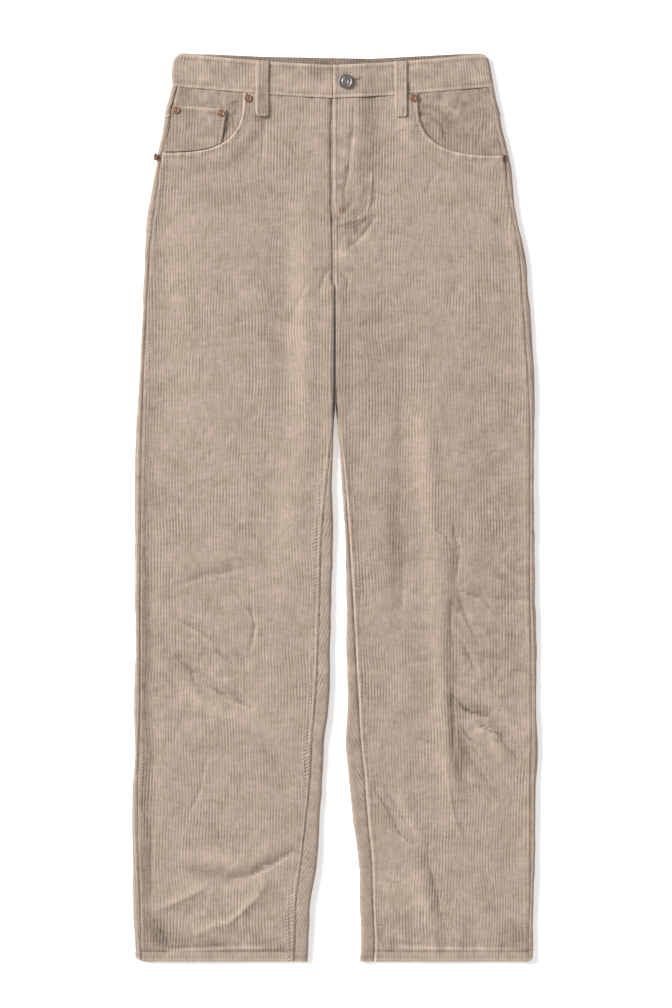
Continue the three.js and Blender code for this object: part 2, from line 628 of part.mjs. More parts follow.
function bandSkins() {
  const left = bandHalf(1, FLY_EDGE - GAP);
  const right = bandHalf(-1, -BAND_UNDER);
  right.splice(1, 0, { ...right[0], along: -BAND_UNDER / 2 }, { ...right[0], along: 0 });
  const ring = [...left, ...right.reverse().slice(1)];
  const layer = (depth) => Array.from({ length: BAND_ROWS + 1 }, (_, row) => ring.map((place) => {
    const { side, along, outer } = place;
    const turn = clamp01((along - outer) / (Math.PI * ROLL));
    const under = Math.abs(outer - Math.max(0, along - outer - Math.PI * ROLL));
    const top = mix(frontTop(Math.min(along, outer)), backTop(under), turn);
    const level = top - BAND_DEPTH * (1 - row / BAND_ROWS);
    const skin = side < 0 ? bandSkin : bandLapSkin;
    const moved = bandPlace(place, level);
    const normal = tubeNormal(side, moved, level, skin);
    return tubePoint(side, moved, level, skin).addScaledVector(normal, -depth * BAND_CLOTH);
  }));
  return [layer(0), layer(1)];
}

// Front belt loops: a strap over the waistband whose foot lies on the front below it
const LOOP_ROWS = 9;
const LOOP_COLUMNS = 2;
const LOOP_SLOPE = 0.15;          // how steeply a loop comes down from the higher layer at the seam

function loopSkin(side, across, level) {
  const seam = frontWaistSeam(across);
  const panel = frontSkin[sideName(side)];
  if (level > seam) {
    return Math.max(bandSkin(side, across, level), panel(side, across, seam) - LOOP_SLOPE * (level - seam));
  }
  return Math.max(panel(side, across, level), bandSkin(side, across, seam) - LOOP_SLOPE * (seam - level));
}

function loopRows(side, centre) {
  return Array.from({ length: LOOP_ROWS + 1 }, (_, row) => (
    Array.from({ length: LOOP_COLUMNS + 1 }, (__, column) => {
      const along = centre + LOOP_WIDTH * (column / LOOP_COLUMNS - 0.5);
      return { side, along, level: frontTop(centre) - LOOP_LENGTH * (1 - row / LOOP_ROWS) };
    })
  ));
}

// Flat pieces on the underside, from rows of x and level, between the surface and their own thickness
function padGeometry(rows, thickness) {
  const layer = (height) => rows.map((row) => row.map(([x, level]) => (
    new THREE.Vector3(x, level - LENGTH / 2, height))));
  return wallGeometry(layer(0), layer(thickness));
}

// Back pocket: wider at its mouth, with a point at its foot
function backPocketRows(side) {
  const { centre, width, taper, top, length, point } = BACK_POCKET;
  const columns = 6;
  const rows = 4;
  return Array.from({ length: rows + 1 }, (_, row) => (
    Array.from({ length: columns + 1 }, (__, column) => {
      const across = 2 * column / columns - 1;
      const foot = top - length + point * Math.abs(across);
      const halfWidth = mix(width / 2 - taper, width / 2, row / rows);
      return [side * centre + across * halfWidth, mix(foot, top, row / rows)];
    })
  ));
}

function backLoopRows(x) {
  const top = backTop(x);
  return [0, 0.5, 1].map((share) => [-0.5, 0.5].map((across) => (
    [x + across * LOOP_WIDTH, mix(top - LOOP_LENGTH, top, share)])));
}

// Metal pieces turned about their own axis, standing on the cloth below them
function turnedGeometry(profile, segments) {
  const points = profile.map(([radius, height]) => new THREE.Vector2(radius, height));
  const geometry = new THREE.LatheGeometry(points, segments);
  geometry.deleteAttribute('uv');
  geometry.rotateX(Math.PI / 2);
  return geometry;
}

// Radius and height as shares of the outer radius: a button with a raised rim, a rivet with a small nipple
const BUTTON_PROFILE = [[0, 0], [0.8, 0], [0.82, 0.1], [1, 0.2], [1, 0.3], [0.92, 0.42], [0.74, 0.38],
  [0.62, 0.32], [0, 0.34]];
const RIVET_PROFILE = [[0, 0], [0.94, 0], [1, 0.12], [0.86, 0.26], [0.5, 0.28], [0.42, 0.4], [0, 0.46]];

function addMetal(name, profile, radius, segments, color, { side, along, level, skin, lift }) {
  const sized = profile.map(([share, height]) => [share * radius, height * radius]);
  const mesh = addPiece(name, turnedGeometry(sized, segments), color, 0.4, 1);
  const normal = tubeNormal(side, along, level, skin);
  mesh.position.copy(tubePoint(side, along, level, skin).addScaledVector(normal, lift));
  mesh.quaternion.setFromUnitVectors(new THREE.Vector3(0, 0, 1), normal);
}

// Putting the pieces together
for (const side of [-1, 1]) {
  const name = sideName(side);
  addPiece(`front_${name}`, clothGeometry(frontRows(side), frontSkin[name], panelThickness), CORDUROY);
  addPiece(`back_${name}`, clothGeometry(backRows(side), frontHeight, panelThickness), CORDUROY);
  addPiece(`yoke_${name}`, clothGeometry(yokeRows(side), frontHeight, CLOTH), CORDUROY);
  addPiece(`pocket_facing_${name}`, clothGeometry(facingRows(side), frontHeight, CLOTH), CORDUROY_SHADE);
  addPiece(`back_pocket_${name}`, padGeometry(backPocketRows(side), PATCH_CLOTH), CORDUROY);
}
const coinPocket = clothGeometry(coinPocketRows(), frontHeight, PATCH_CLOTH, PATCH_CLOTH + LAY_GAP);
addPiece('coin_pocket', coinPocket, CORDUROY);
addPiece('waistband', wallGeometry(...bandSkins()), CORDUROY);
for (const loop of FRONT_LOOPS) {
  const rows = loopRows(loop.side, loop.centre);
  addPiece(loop.node, clothGeometry(rows, loopSkin, LOOP_CLOTH, LOOP_CLOTH + 2 * LAY_GAP), CORDUROY);
}
for (const loop of BACK_LOOPS) addPiece(loop.node, padGeometry(backLoopRows(loop.x), LOOP_CLOTH), CORDUROY);

const BUTTON = { side: 1, along: 12.3, level: 1027.6, skin: bandLapSkin, lift: LAY_GAP };
addMetal('button', BUTTON_PROFILE, BUTTON_RADIUS, 24, GREY_METAL, BUTTON);
const onCoinPocket = PATCH_CLOTH + 2 * LAY_GAP;
const RIVETS = [
  { node: 'rivet_right_waist', side: -1, along: 101.6, level: 1008, skin: frontSkin.right, lift: LAY_GAP },
  { node: 'rivet_right_side', side: -1, along: 208.5, level: 940, skin: frontHeight, lift: LAY_GAP },
  { node: 'rivet_left_waist', side: 1, along: 91.4, level: 1008.5, skin: frontSkin.left, lift: LAY_GAP },
  { node: 'rivet_left_side', side: 1, along: 197.5, level: 938, skin: frontSkin.left, lift: 2 * LAY_GAP },
  { node: 'rivet_coin_outer', side: -1, along: 186, level: 994.5, skin: frontHeight, lift: onCoinPocket },
  { node: 'rivet_coin_inner', side: -1, along: 133, level: 991, skin: frontHeight, lift: onCoinPocket },
];
for (const rivet of RIVETS) addMetal(rivet.node, RIVET_PROFILE, RIVET_RADIUS, 12, COPPER, rivet);

// The origin is under the middle of the whole
trousers.updateMatrixWorld(true);
const box = new THREE.Box3().setFromObject(trousers);
trousers.position.set(-(box.min.x + box.max.x) / 2, -(box.min.y + box.max.y) / 2, -box.min.z);
trousers.updateMatrixWorld(true);

export default trousers;
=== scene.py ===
"""Corduroy trousers of the five-pocket kind, laid flat with their front up. Sizes are in millimetres until a
mesh is made. X runs across them towards the wearer's left, Y from the hems to the waist, Z up from the surface
below. Level is the height above the hems, across the distance from the centre line, and side is -1 for the
wearer's right and 1 for the left."""

import bpy
import numpy as np
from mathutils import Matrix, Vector


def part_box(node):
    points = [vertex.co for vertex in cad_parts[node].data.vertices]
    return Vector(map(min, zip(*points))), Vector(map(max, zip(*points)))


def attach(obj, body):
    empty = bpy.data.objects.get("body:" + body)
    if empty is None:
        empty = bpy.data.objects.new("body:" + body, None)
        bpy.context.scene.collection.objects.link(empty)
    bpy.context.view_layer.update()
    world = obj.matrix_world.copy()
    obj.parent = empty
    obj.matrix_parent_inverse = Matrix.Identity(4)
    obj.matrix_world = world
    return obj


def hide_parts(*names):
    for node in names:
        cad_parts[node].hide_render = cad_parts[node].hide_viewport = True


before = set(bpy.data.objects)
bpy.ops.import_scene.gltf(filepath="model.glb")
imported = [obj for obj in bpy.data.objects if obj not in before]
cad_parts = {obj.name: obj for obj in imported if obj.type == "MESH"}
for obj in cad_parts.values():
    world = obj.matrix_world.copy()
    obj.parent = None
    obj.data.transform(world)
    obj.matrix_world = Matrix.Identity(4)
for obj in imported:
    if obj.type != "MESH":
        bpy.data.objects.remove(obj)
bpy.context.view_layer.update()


# Fronts
# Two panels of cotton corduroy, brushed and washed. Each is cut in one piece from the waist to the hem, with a
# scoop cut away for the pocket, and sewn to the back at the side seam and the inseam.

# the whole garment: its length, the level of the crotch and how far above it the legs have joined, half the
# waist, the depth of the waistband, the gap between pieces at a seam and the gap under a laid-on piece
LENGTH = 1062.4
CROTCH = 785
CROTCH_EASE = 18
WAIST_HALF = 187
BAND_DEPTH = 38.6
GAP = 0.3
LAY_GAP = 0.4

# thickness of the cloth: a panel, its hem, a patch and a folded loop
CLOTH = 1.8
HEM_CLOTH = 2.8
HEM_DEPTH = 12
PATCH_CLOTH = 1.5
LOOP_CLOTH = 1.9

# the flattened tube of a leg: height of its skin, radius and length of the rolls at its sides, how far they
# raise the cloth beside them, rounding of its corners, place of the side seam, and rise where it laps over
REST = 6.4
ROLL = 4
HALF_TURN = np.pi * ROLL
OUTER_REACH = 11
INNER_REACH = 9
CORNER = 4.5
SIDE_SEAM = 6.5
LAP_LIFT = 2.8

# the fly: the left front's edge, how far the right one goes under, the stitched line beside it and where that
# line ends, and the levels of its foot and of the place where the fronts part
FLY_EDGE = -1.8
FLY_UNDER = 7
FLY_WIDTH = 43
FLY_TURN = 12
FLY_FOOT = 858
FLY_OPEN = 868

# the scooped pocket openings, as across at the waistband and level at the side seam
SCOOP = {-1: (107, 945), 1: (96.6, 941.5)}
SCOOP_POWER = 3

# corduroy: spacing of the wales, their slant where the cloth is cut off the grain, spacing of gathers at a
# seam, depth of the grooves, height of the pile from one groove over a wale to the next, and spacing of rows
WALE = 3.5
LEAN = 0.29
GATHER = 4.1
WALE_DEPTH = 0.52
WALE_STEPS = 5
WALE_SHAPE = np.array([-1, -0.28, 0, 0, -0.28])
ROW_STEP = 3.1

# level, wearer's right, wearer's left: the outline from the centre line
OUTER_EDGE = (
    (0, 231.7, 232.8), (25, 232.8, 232.8), (71, 234, 234), (141, 236.3, 235.2), (212, 236.3, 235.2),
    (305, 234, 236.3), (422, 234, 234), (539, 232.8, 234), (633, 231.7, 234), (703, 229.3, 230.5),
    (773, 225.8, 225.8), (832, 222.3, 221.1), (890, 215.3, 210.6), (937, 209.4, 203.6),
    (972, 201.2, 195.4), (996, 197.7, 190.7), (1019, 191.9, 186), (1050, 189.5, 182.5), (1063, 187, 180),
)
# level, inner edge of the right leg, of the left leg, then each inseam from where the edge starts to roll
INNER_EDGE = (
    (0, 31.6, 29.3, 12, 12), (25, 30.4, 30.4, 12, 12), (71, 28.1, 29.3, 13, 11), (118, 22.2, 25.7, 13, 13),
    (165, 17.6, 21.1, 12, 13), (212, 12.9, 17.6, 12, 13), (259, 10.5, 14, 12, 12), (329, 7, 12.9, 10, 9),
    (422, 4.7, 12.9, 9, 4), (493, 3.5, 10.5, 8, 2), (563, 2.3, 8.2, 3, -1), (610, 1.2, 4.7, -1, -3),
    (645, 0.4, 1.8, -3, -4), (703, 0.4, 0.7, -5, -5.5),
    (CROTCH, 0.4, 0.4, -HALF_TURN / 2, -HALF_TURN / 2),
)

# half width, height and path of x and level: broad folds first, then the fine creases that wearing left
FOLDS = (
    (9, -2.2, ((-177, 352), (-150, 323), (-121, 308), (-99, 298))),
    (11, 2.0, ((-144, 338), (-111, 317), (-85, 291), (-55, 252))),
    (13, 1.2, ((-181, 317), (-152, 296), (-117, 284))),
    (11, -1.2, ((-188, 439), (-148, 454), (-99, 461))),
    (13, 1.3, ((-187, 452), (-123, 474))),
    (8, -2.1, ((-179, 110), (-121, 98), (-99, 101), (-77, 112), (-50, 130))),
    (10, 2, ((-170, 126), (-118, 115), (-95, 117), (-72, 130))),
    (10, 1.6, ((-179, 88), (-120, 80), (-85, 90))),
    (8, 1.9, ((-157, 36), (-121, 47), (-90, 74), (-81, 92))),
    (9, 1.5, ((-208, 60), (-179, 74), (-148, 88))),
    (8, -2.2, ((-215, 56), (-204, 34), (-192, 16))),
    (8, -1.7, ((-216, 523), (-217, 422), (-216, 292), (-213, 154), (-213, 83))),
    (9, -1.8, ((123, 530), (145, 510), (147, 492), (142, 456), (140, 376), (141, 301))),
    (12, 2.1, ((104, 640), (108, 560), (117, 493), (120, 422), (126, 329), (129, 229), (141, 154))),
    (11, -1.5, ((78, 715), (76, 560), (76, 492), (74, 390))),
    (9, -1.7, ((140, 330), (144, 270), (150, 215), (154, 190))),
    (17, 1.5, ((-38, 890), (-35, 760), (-41, 633), (-52, 539), (-58, 430))),
    (14, -1.4, ((-62, 850), (-66, 640))),
    (24, 0.8, ((-168, 850), (-176, 700), (-168, 560))),
    (9, 2.2, ((-182, 333), (-152, 304), (-122, 288), (-98, 280))),
    (10, 2.0, ((48, 92), (92, 82), (120, 62))),
    (8, -2.1, ((141, 303), (159, 290), (181, 285), (199, 270), (212, 243))),
    (8, 2, ((164, 277), (187, 259), (202, 236))),
    (9, 1.5, ((164, 305), (193, 295), (216, 267))),
    (9, -2.2, ((136, 270), (150, 243), (147, 216))),
    (8, -1.4, ((154, 243), (203, 185))),
    (8, -1.6, ((56, 203), (76, 150))),
    (9, 1.3, ((71, 206), (94, 153))),
    (8, -2.1, ((110, 132), (119, 96), (136, 39))),
    (10, 1.9, ((93, 118), (103, 83), (119, 42))),
    (13, -1.2, ((80, 523), (80, 422))),
    (7, -1.9, ((18, 836), (47, 868))),
    (14, -1.0, ((-69, 262), (-69, 195))),
    (12, -1.0, ((-182, 182), (-176, 172))),
    (13, 1.0, ((-38, 870), (-36, 633))),
    (12, 1.0, ((2, 832), (14, 820))),
    (14, 1.3, ((108, 655), (108, 545))),
)
CREASES = (
    (3.4, -2.3, ((-185, 358), (-158, 329), (-129, 311), (-96, 297))),
    (3.0, -1.2, ((-138, 364), (-112, 343))),
    (3.4, -0.8, ((-188, 439), (-148, 452), (-99, 461))),
    (3.2, -1.2, ((-190, 404), (-158, 387), (-135, 372))),
    (3.0, -0.8, ((-212, 331), (-204, 312))),
    (3.0, -1.2, ((-97, 421), (-92, 394), (-97, 366))),
    (3.0, -0.5, ((-95, 407), (-63, 394))),
    (3.0, -0.8, ((-212, 283), (-199, 266))),
    (3.2, -0.9, ((-226, 185), (-212, 154), (-212, 83))),
    (3.0, -0.6, ((-150, 243), (-157, 203), (-172, 172))),
    (3.0, -0.5, ((-139, 154), (-126, 123))),
    (3.0, -1.6, ((-121, 98), (-99, 101), (-77, 112), (-50, 130))),
    (3.4, 0.9, ((-157, 36), (-121, 47), (-90, 74), (-81, 92))),
    (3.4, 0.8, ((-208, 60), (-179, 74), (-148, 88))),
    (3.2, -1.6, ((-215, 56), (-204, 34), (-192, 16), (-112, 20), (-68, 20))),
    (3.0, 0.6, ((-201, 229), (-179, 212))),
    (3.0, -0.4, ((-99, 629), (-50, 617))),
    (3.4, 0.4, ((-179, 555), (-135, 572))),
    (3.2, -1.5, ((140, 512), (147, 484), (141, 446))),
    (3.2, -1.0, ((139, 424), (136, 396), (140, 368))),
    (3.4, -1.2, ((139, 318), (139, 282), (136, 236))),
    (3.0, -1.3, ((119, 505), (131, 498), (142, 478))),
    (3.0, -1.3, ((139, 284), (155, 262), (169, 254))),
    (3.0, -0.8, ((94, 262), (114, 255))),
    (3.0, -0.8, ((206, 425), (233, 422))),
    (3.0, -1.8, ((141, 440), (152, 405), (168, 373))),
    (3.0, -1.6, ((135, 420), (147, 406))),
    (3.0, -0.9, ((145, 417), (159, 394))),
    (3.0, -1.4, ((147, 434), (172, 425), (196, 396))),
    (3.0, -1.3, ((150, 374), (160, 352), (167, 336))),
    (3.0, -0.5, ((176, 355), (203, 328))),
    (2.8, -2.2, ((139, 310), (150, 296), (162, 290), (181, 287))),
    (2.8, -2.6, ((170, 277), (194, 266), (207, 247), (214, 234))),
    (2.8, -0.9, ((150, 274), (190, 207))),
    (2.8, -0.9, ((152, 243), (194, 194))),
    (3.2, -1.4, ((143, 270), (148, 243), (147, 212))),
    (3.6, 0.9, ((127, 232), (138, 170), (150, 140), (163, 127))),
    (2.8, -1.7, ((42, 206), (60, 178), (77, 146))),
    (2.8, -1.2, ((56, 203), (90, 150))),
    (2.6, -1.4, ((74, 152), (86, 141), (97, 139))),
    (2.8, -1.0, ((165, 207), (185, 183))),
    (2.8, -1.8, ((109, 136), (119, 88), (134, 48), (142, 24))),
    (3.2, 0.8, ((51, 105), (96, 88))),
    (3.0, -0.6, ((83, 350), (123, 355))),
    (2.8, -0.8, ((207, 340), (232, 338))),
    (4.0, -1.3, ((77, 500), (79, 460), (80, 414))),
    (3.4, -1.0, ((22, 1000), (19, 935), (13, 903), (13, 877))),
    (5.0, -0.9, ((222, 474), (223, 466))),
    (3.2, -1.2, ((61, 21), (216, 17))),
    (3.0, -1.0, ((207, 48), (225, 21))),
    (3.2, -0.7, ((53, 854), (84, 848), (103, 841))),
    (2.8, -1.5, ((18, 836), (34, 851), (48, 870))),
    (2.6, 0.9, ((3, 862), (22, 865), (42, 873))),
    (2.6, 0.9, ((44, 922), (43, 900), (42, 880))),
    (2.4, -0.9, ((6, 806), (14, 797), (16, 784))),
    (2.4, -0.8, ((-4, 812), (-14, 800), (-16, 786))),
    (3.4, -0.6, ((-81, 984), (-84, 935))),
    (2.8, -0.6, ((-120, 1006), (-110, 1001))),
    (2.8, -0.7, ((98, 990), (118, 987))),
    (2.8, -0.5, ((104, 999), (150, 997))),
    (2.8, -0.5, ((-176, 1000), (-135, 1001))),
)

# from a crease to its lip, the side that the cloth bulges on
LIP = (1.3, -3.4)
# lightness of the cloth per millimetre that each kind of relief stands up: painted light where it rises and
# painted shade where it sinks, partly also pile rubbed on top of folds, and a crease's lip painted the other
# way, light beside a dark crease
FOLD_PAINTED_LIGHT_AND_WEAR = 0.17
CREASE_PAINTED_LIGHT_AND_SHADE = 0.55
LIP_PAINTED_LIGHT_AND_SHADE = -0.45
CRUSHED_PAINTED_LIGHT_AND_SHADE = 0.5
# x, level, half width and half height of places where the wales are pressed flat
PRESSED = (
    (166, 412, 20, 52), (-140, 300, 26, 14), (-110, 105, 46, 16), (176, 262, 20, 16), (-60, 700, 24, 16),
    (70, 395, 22, 26), (-170, 640, 26, 18), (120, 745, 40, 12), (60, 120, 18, 40), (-130, 470, 40, 10),
)
# x, level, half width, half height and lightness of places made pale or dark: pale wear and painted highlights,
# and painted shade in the dark ones
PAINTED_LIGHT_AND_WEAR_PLACES = (
    (-39, 730, 8, 120, 0.2), (8, 825, 8, 8, 0.6), (-204, 36, 13, 20, -0.6), (-180, 26, 24, 9, -0.5),
    (212, 30, 16, 18, -0.5), (190, 440, 40, 120, -0.22), (40, 960, 20, 60, -0.16), (-58, 500, 14, 60, 0.16),
    (-218, 110, 9, 45, -0.35), (-226, 420, 6, 120, -0.3), (1, 716, 7, 72, -0.35), (42, 716, 26, 60, -0.3),
    (176, 640, 46, 120, -0.12), (-172, 830, 26, 50, 0.12), (-100, 15, 60, 3, -0.4), (148, 400, 8, 110, -0.12),
    (129, 430, 9, 110, 0.3), (17, 885, 5, 12, -0.5), (12, 960, 5, 40, 0.25), (-120, 900, 70, 16, -0.25),
    (96, 500, 24, 40, -0.2), (110, 370, 26, 60, -0.15), (-190, 330, 24, 20, -0.25), (172, 296, 22, 5, -0.35),
    (150, 246, 6, 30, -0.35),
)

# x, level, half width and half height of places that are crumpled all over
CRUMPLED = (
    (25, 915, 26, 60), (-120, 45, 90, 36), (110, 50, 90, 46), (172, 330, 46, 110), (-140, 320, 60, 80),
    (34, 835, 30, 26), (-96, 985, 26, 26), (96, 985, 30, 26), (205, 470, 22, 60),
)


def small_creases(count, seed):
    """Short creases all over the fronts, most of them level: each is a bent line with a half width and a
    height, from random numbers of one seed."""
    random = np.random.default_rng(seed)
    found = []
    for _ in range(count):
        x, level = random.uniform(-215, 215), random.uniform(50, 930)
        lies_level = random.uniform() < 0.7
        angle = random.normal(0, 0.16) if lies_level else random.uniform(-1.2, 1.2)
        reach = random.uniform(8, 30) * np.array([np.cos(angle), np.sin(angle)])
        bend = random.uniform(-0.15, 0.15) * reach[::-1] * (-1, 1)
        rise = random.choice((-1, -1, 1)) * random.uniform(0.2, 0.55)
        place = np.array([x, level])
        found.append((random.uniform(1.9, 2.8), rise, (place - reach, place + bend, place + reach)))
    return found


def smoothstep(low, high, value):
    """0 below low, 1 above high, and 3t^2 - 2t^3 between them."""
    t = np.clip((value - low) / (high - low), 0, 1)
    return t * t * (3 - 2 * t)


def mix(low, high, share):
    """low where share is 0, high where it is 1, in a straight line between and beyond."""
    return low + (high - low) * share


def hump(away, reach):
    """A soft hill, e to the power of minus the square of away over reach."""
    return np.exp(-(away / reach) ** 2)


def table_at(rows, column, level):
    """A column of a table at a level: a cubic between two rows, with its slopes from the rows beyond them."""
    levels, values = np.array([(row[0], row[column]) for row in rows], float).T
    last = len(levels) - 1
    bounded = np.clip(level, levels[0], levels[-1])
    low = np.clip(np.searchsorted(levels, bounded, side="right") - 1, 0, last - 1)
    high = low + 1
    before = np.maximum(low - 1, 0)
    after = np.minimum(low + 2, last)
    step = levels[high] - levels[low]
    slope_in = (values[high] - values[before]) / (levels[high] - levels[before])
    slope_out = (values[after] - values[low]) / (levels[after] - levels[low])
    t = (bounded - levels[low]) / step
    rest = 1 - t
    ends = values[low] * (1 + 2 * t) * rest ** 2 + values[high] * t ** 2 * (3 - 2 * t)
    return ends + step * (slope_in * t * rest ** 2 - slope_out * t ** 2 * rest)


def nearest_on_path(x, y, path):
    """Distance of each point to a line of straight stretches, and how far along that line the nearest place
    is: the nearest of all stretches counts."""
    distance = np.full(np.shape(x), np.inf)
    travelled = np.zeros(np.shape(x))
    start = 0
    for (ax, ay), (bx, by) in zip(path[:-1], path[1:]):
        length = np.hypot(bx - ax, by - ay)
        share = np.clip(((x - ax) * (bx - ax) + (y - ay) * (by - ay)) / length ** 2, 0, 1)
        away = np.hypot(x - mix(ax, bx, share), y - mix(ay, by, share))
        closer = away < distance
        distance = np.where(closer, away, distance)
        travelled = np.where(closer, start + share * length, travelled)
        start += length
    return distance, travelled


def soft_noise(a, b, seed):
    """Random values from -1 to 1 at whole numbers of a and b, joined by smooth steps in both directions."""
    table = np.random.default_rng(seed).uniform(-1, 1, (64, 64))
    i, j = np.floor(a).astype(int), np.floor(b).astype(int)
    s, t = smoothstep(0, 1, a - i), smoothstep(0, 1, b - j)
    low = mix(table[i % 64, j % 64], table[(i + 1) % 64, j % 64], s)
    high = mix(table[i % 64, (j + 1) % 64], table[(i + 1) % 64, (j + 1) % 64], s)
    return mix(low, high, t)


def rounded(away):
    """A fold's cross-section, the same soft hill as hump."""
    return np.exp(-away ** 2)


def fold_height(x, level, folds, fade=rounded):
    """The sum of all folds: each is its height times fade of the distance to its path over its half width,
    tapered towards the two ends of the path."""
    height = np.zeros(np.shape(x))
    for spread, rise, path in folds:
        low = np.min(path, axis=0) - 3 * spread
        high = np.max(path, axis=0) + 3 * spread
        near = (x > low[0]) & (x < high[0]) & (level > low[1]) & (level < high[1])
        away, travelled = nearest_on_path(x[near], level[near], path)
        length = sum(np.hypot(b[0] - a[0], b[1] - a[1]) for a, b in zip(path[:-1], path[1:]))
        taper = smoothstep(-0.2, 0.3, travelled / length) * smoothstep(-0.2, 0.3, 1 - travelled / length)
        height[near] += rise * taper * fade(away / spread)
    return height


CRUSHED = small_creases(64, 71)


def outer_edge(side, level):
    """The outline of the leg and hip, from its table."""
    return table_at(OUTER_EDGE, 1 if side < 0 else 2, level)


def outer_roll(side, level):
    """Where the outer roll starts, its radius inside the outline."""
    return outer_edge(side, level) - ROLL


def side_seam(side, level):
    """The side seam shows on the front, at one distance inside the outline."""
    return outer_edge(side, level) - SIDE_SEAM


def crotch_turn(level):
    """How far the inner roll is turned round: 1 on the legs, easing to 0 just above the crotch."""
    return 1 - smoothstep(CROTCH, CROTCH + CROTCH_EASE, level)


def inner_roll(side, level):
    """Where the leg's inner roll starts. Above the crotch it shrinks until front and back end at the centre."""
    below = table_at(INNER_EDGE, 1 if side < 0 else 2, level) + ROLL
    above = GAP / 2 + ROLL * np.sin(crotch_turn(level) * np.pi / 2)
    return np.where(level <= CROTCH, below, above)


def inseam(side, level):
    """The inseam from where the inner roll starts, from its table."""
    return table_at(INNER_EDGE, 3 if side < 0 else 4, level)


def front_top(across):
    """Level of the waistband's top in front: it dips in the middle by a power of the distance across."""
    return 1047.2 + 14 * (np.abs(across) / WAIST_HALF) ** 1.25


def back_top(across):
    """Level of the waistband's top behind, which dips a little less."""
    return 1052.7 + 9.7 * np.minimum(1, np.abs(across) / WAIST_HALF) ** 0.9


def front_waist(across):
    """The seam between front and waistband, one waistband's depth below its top."""
    return front_top(across) - BAND_DEPTH


def back_waist(across):
    """The seam between yoke and waistband, as far below its top."""
    return back_top(across) - BAND_DEPTH


YOKE_SEAM_CENTRE = 939
YOKE_SEAM_SIDE = 984


def yoke_seam(across):
    """Level of the seam between back and yoke: straight, and higher at the side than in the middle."""
    return mix(YOKE_SEAM_CENTRE, YOKE_SEAM_SIDE, np.abs(across) / WAIST_HALF)


def scoop_point(side, t):
    """Pocket opening from t 0 at the waistband to 1 at the side seam: a quarter of an ellipse of power 3."""
    start, foot = SCOOP[side]
    width, depth = side_seam(side, foot) - start, front_waist(start) - foot
    turn = t * np.pi / 2
    return (start + width * (1 - np.cos(turn) ** (2 / SCOOP_POWER)),
            front_waist(start) - depth * np.sin(turn) ** (2 / SCOOP_POWER))


def scoop_level(side, across):
    """Level of the pocket opening at a distance across, from the same ellipse."""
    start, foot = SCOOP[side]
    depth = front_waist(start) - foot
    rest = np.clip(1 - (across - start) / (side_seam(side, foot) - start), 0, 1)
    return front_waist(start) - depth * (1 - rest ** SCOOP_POWER) ** (1 / SCOOP_POWER)


def scoop_across(side, level):
    """Distance across of the pocket opening at a level, from the same ellipse."""
    start, foot = SCOOP[side]
    share = np.clip((front_waist(start) - level) / (front_waist(start) - foot), 0, 1)
    return start + (side_seam(side, foot) - start) * (1 - (1 - share ** SCOOP_POWER) ** (1 / SCOOP_POWER))


SCOOP_PATH = {side: np.transpose(scoop_point(side, np.linspace(0, 1, 25))) for side in (-1, 1)}


PAD_MARGIN = 18


def pad_lift(x, level, centre, half_width, low, high, rise):
    """Height of what lies under the back: flat over it and its margin, then down to 0 over one more margin."""
    out_x = np.abs(x - centre) - half_width - PAD_MARGIN
    out_level = np.maximum(low - level, level - high) - PAD_MARGIN
    return rise * (1 - smoothstep(0, PAD_MARGIN, out_x)) * (1 - smoothstep(0, PAD_MARGIN, out_level))


BACK_POCKET_CENTRE = 95
BACK_POCKET_HALF = 69
BACK_POCKET_TOP = 936
BACK_POCKET_FOOT = 781
BACK_LOOPS = {"belt_loop_back_right": -118, "belt_loop_back_centre": 0, "belt_loop_back_left": 118}
LOOP_WIDTH = 16
LOOP_LENGTH = 65


def under_lift(x, level):
    """The back pockets and back loops lie under the trousers and lift them, whichever lifts more."""
    lift = pad_lift(np.abs(x), level, BACK_POCKET_CENTRE, BACK_POCKET_HALF, BACK_POCKET_FOOT, BACK_POCKET_TOP,
                    PATCH_CLOTH + LAY_GAP)
    for centre in BACK_LOOPS.values():
        foot = back_top(centre) - LOOP_LENGTH
        loop = pad_lift(x, level, centre, LOOP_WIDTH / 2, foot, LENGTH, LOOP_CLOTH + LAY_GAP)
        lift = np.maximum(lift, loop)
    return lift


def panel_thickness(level):
    """One cloth, and thicker in the turned hem."""
    return mix(HEM_CLOTH, CLOTH, smoothstep(HEM_DEPTH, HEM_DEPTH + 1, level))


def fly_line(level):
    """The stitched line beside the fly, which curves in at its foot like a J."""
    bend = np.clip((FLY_FOOT + FLY_WIDTH - level) / FLY_WIDTH, 0, 1)
    return mix(FLY_TURN, FLY_WIDTH, np.sqrt(1 - bend * bend))


def gathers(distance, travelled, reach, step, depth, seed):
    """Small puckers that stitching pulls up: noise along the seam, fading away from it."""
    return depth * hump(distance, reach) * soft_noise(travelled / step, distance / (2 * reach), seed)


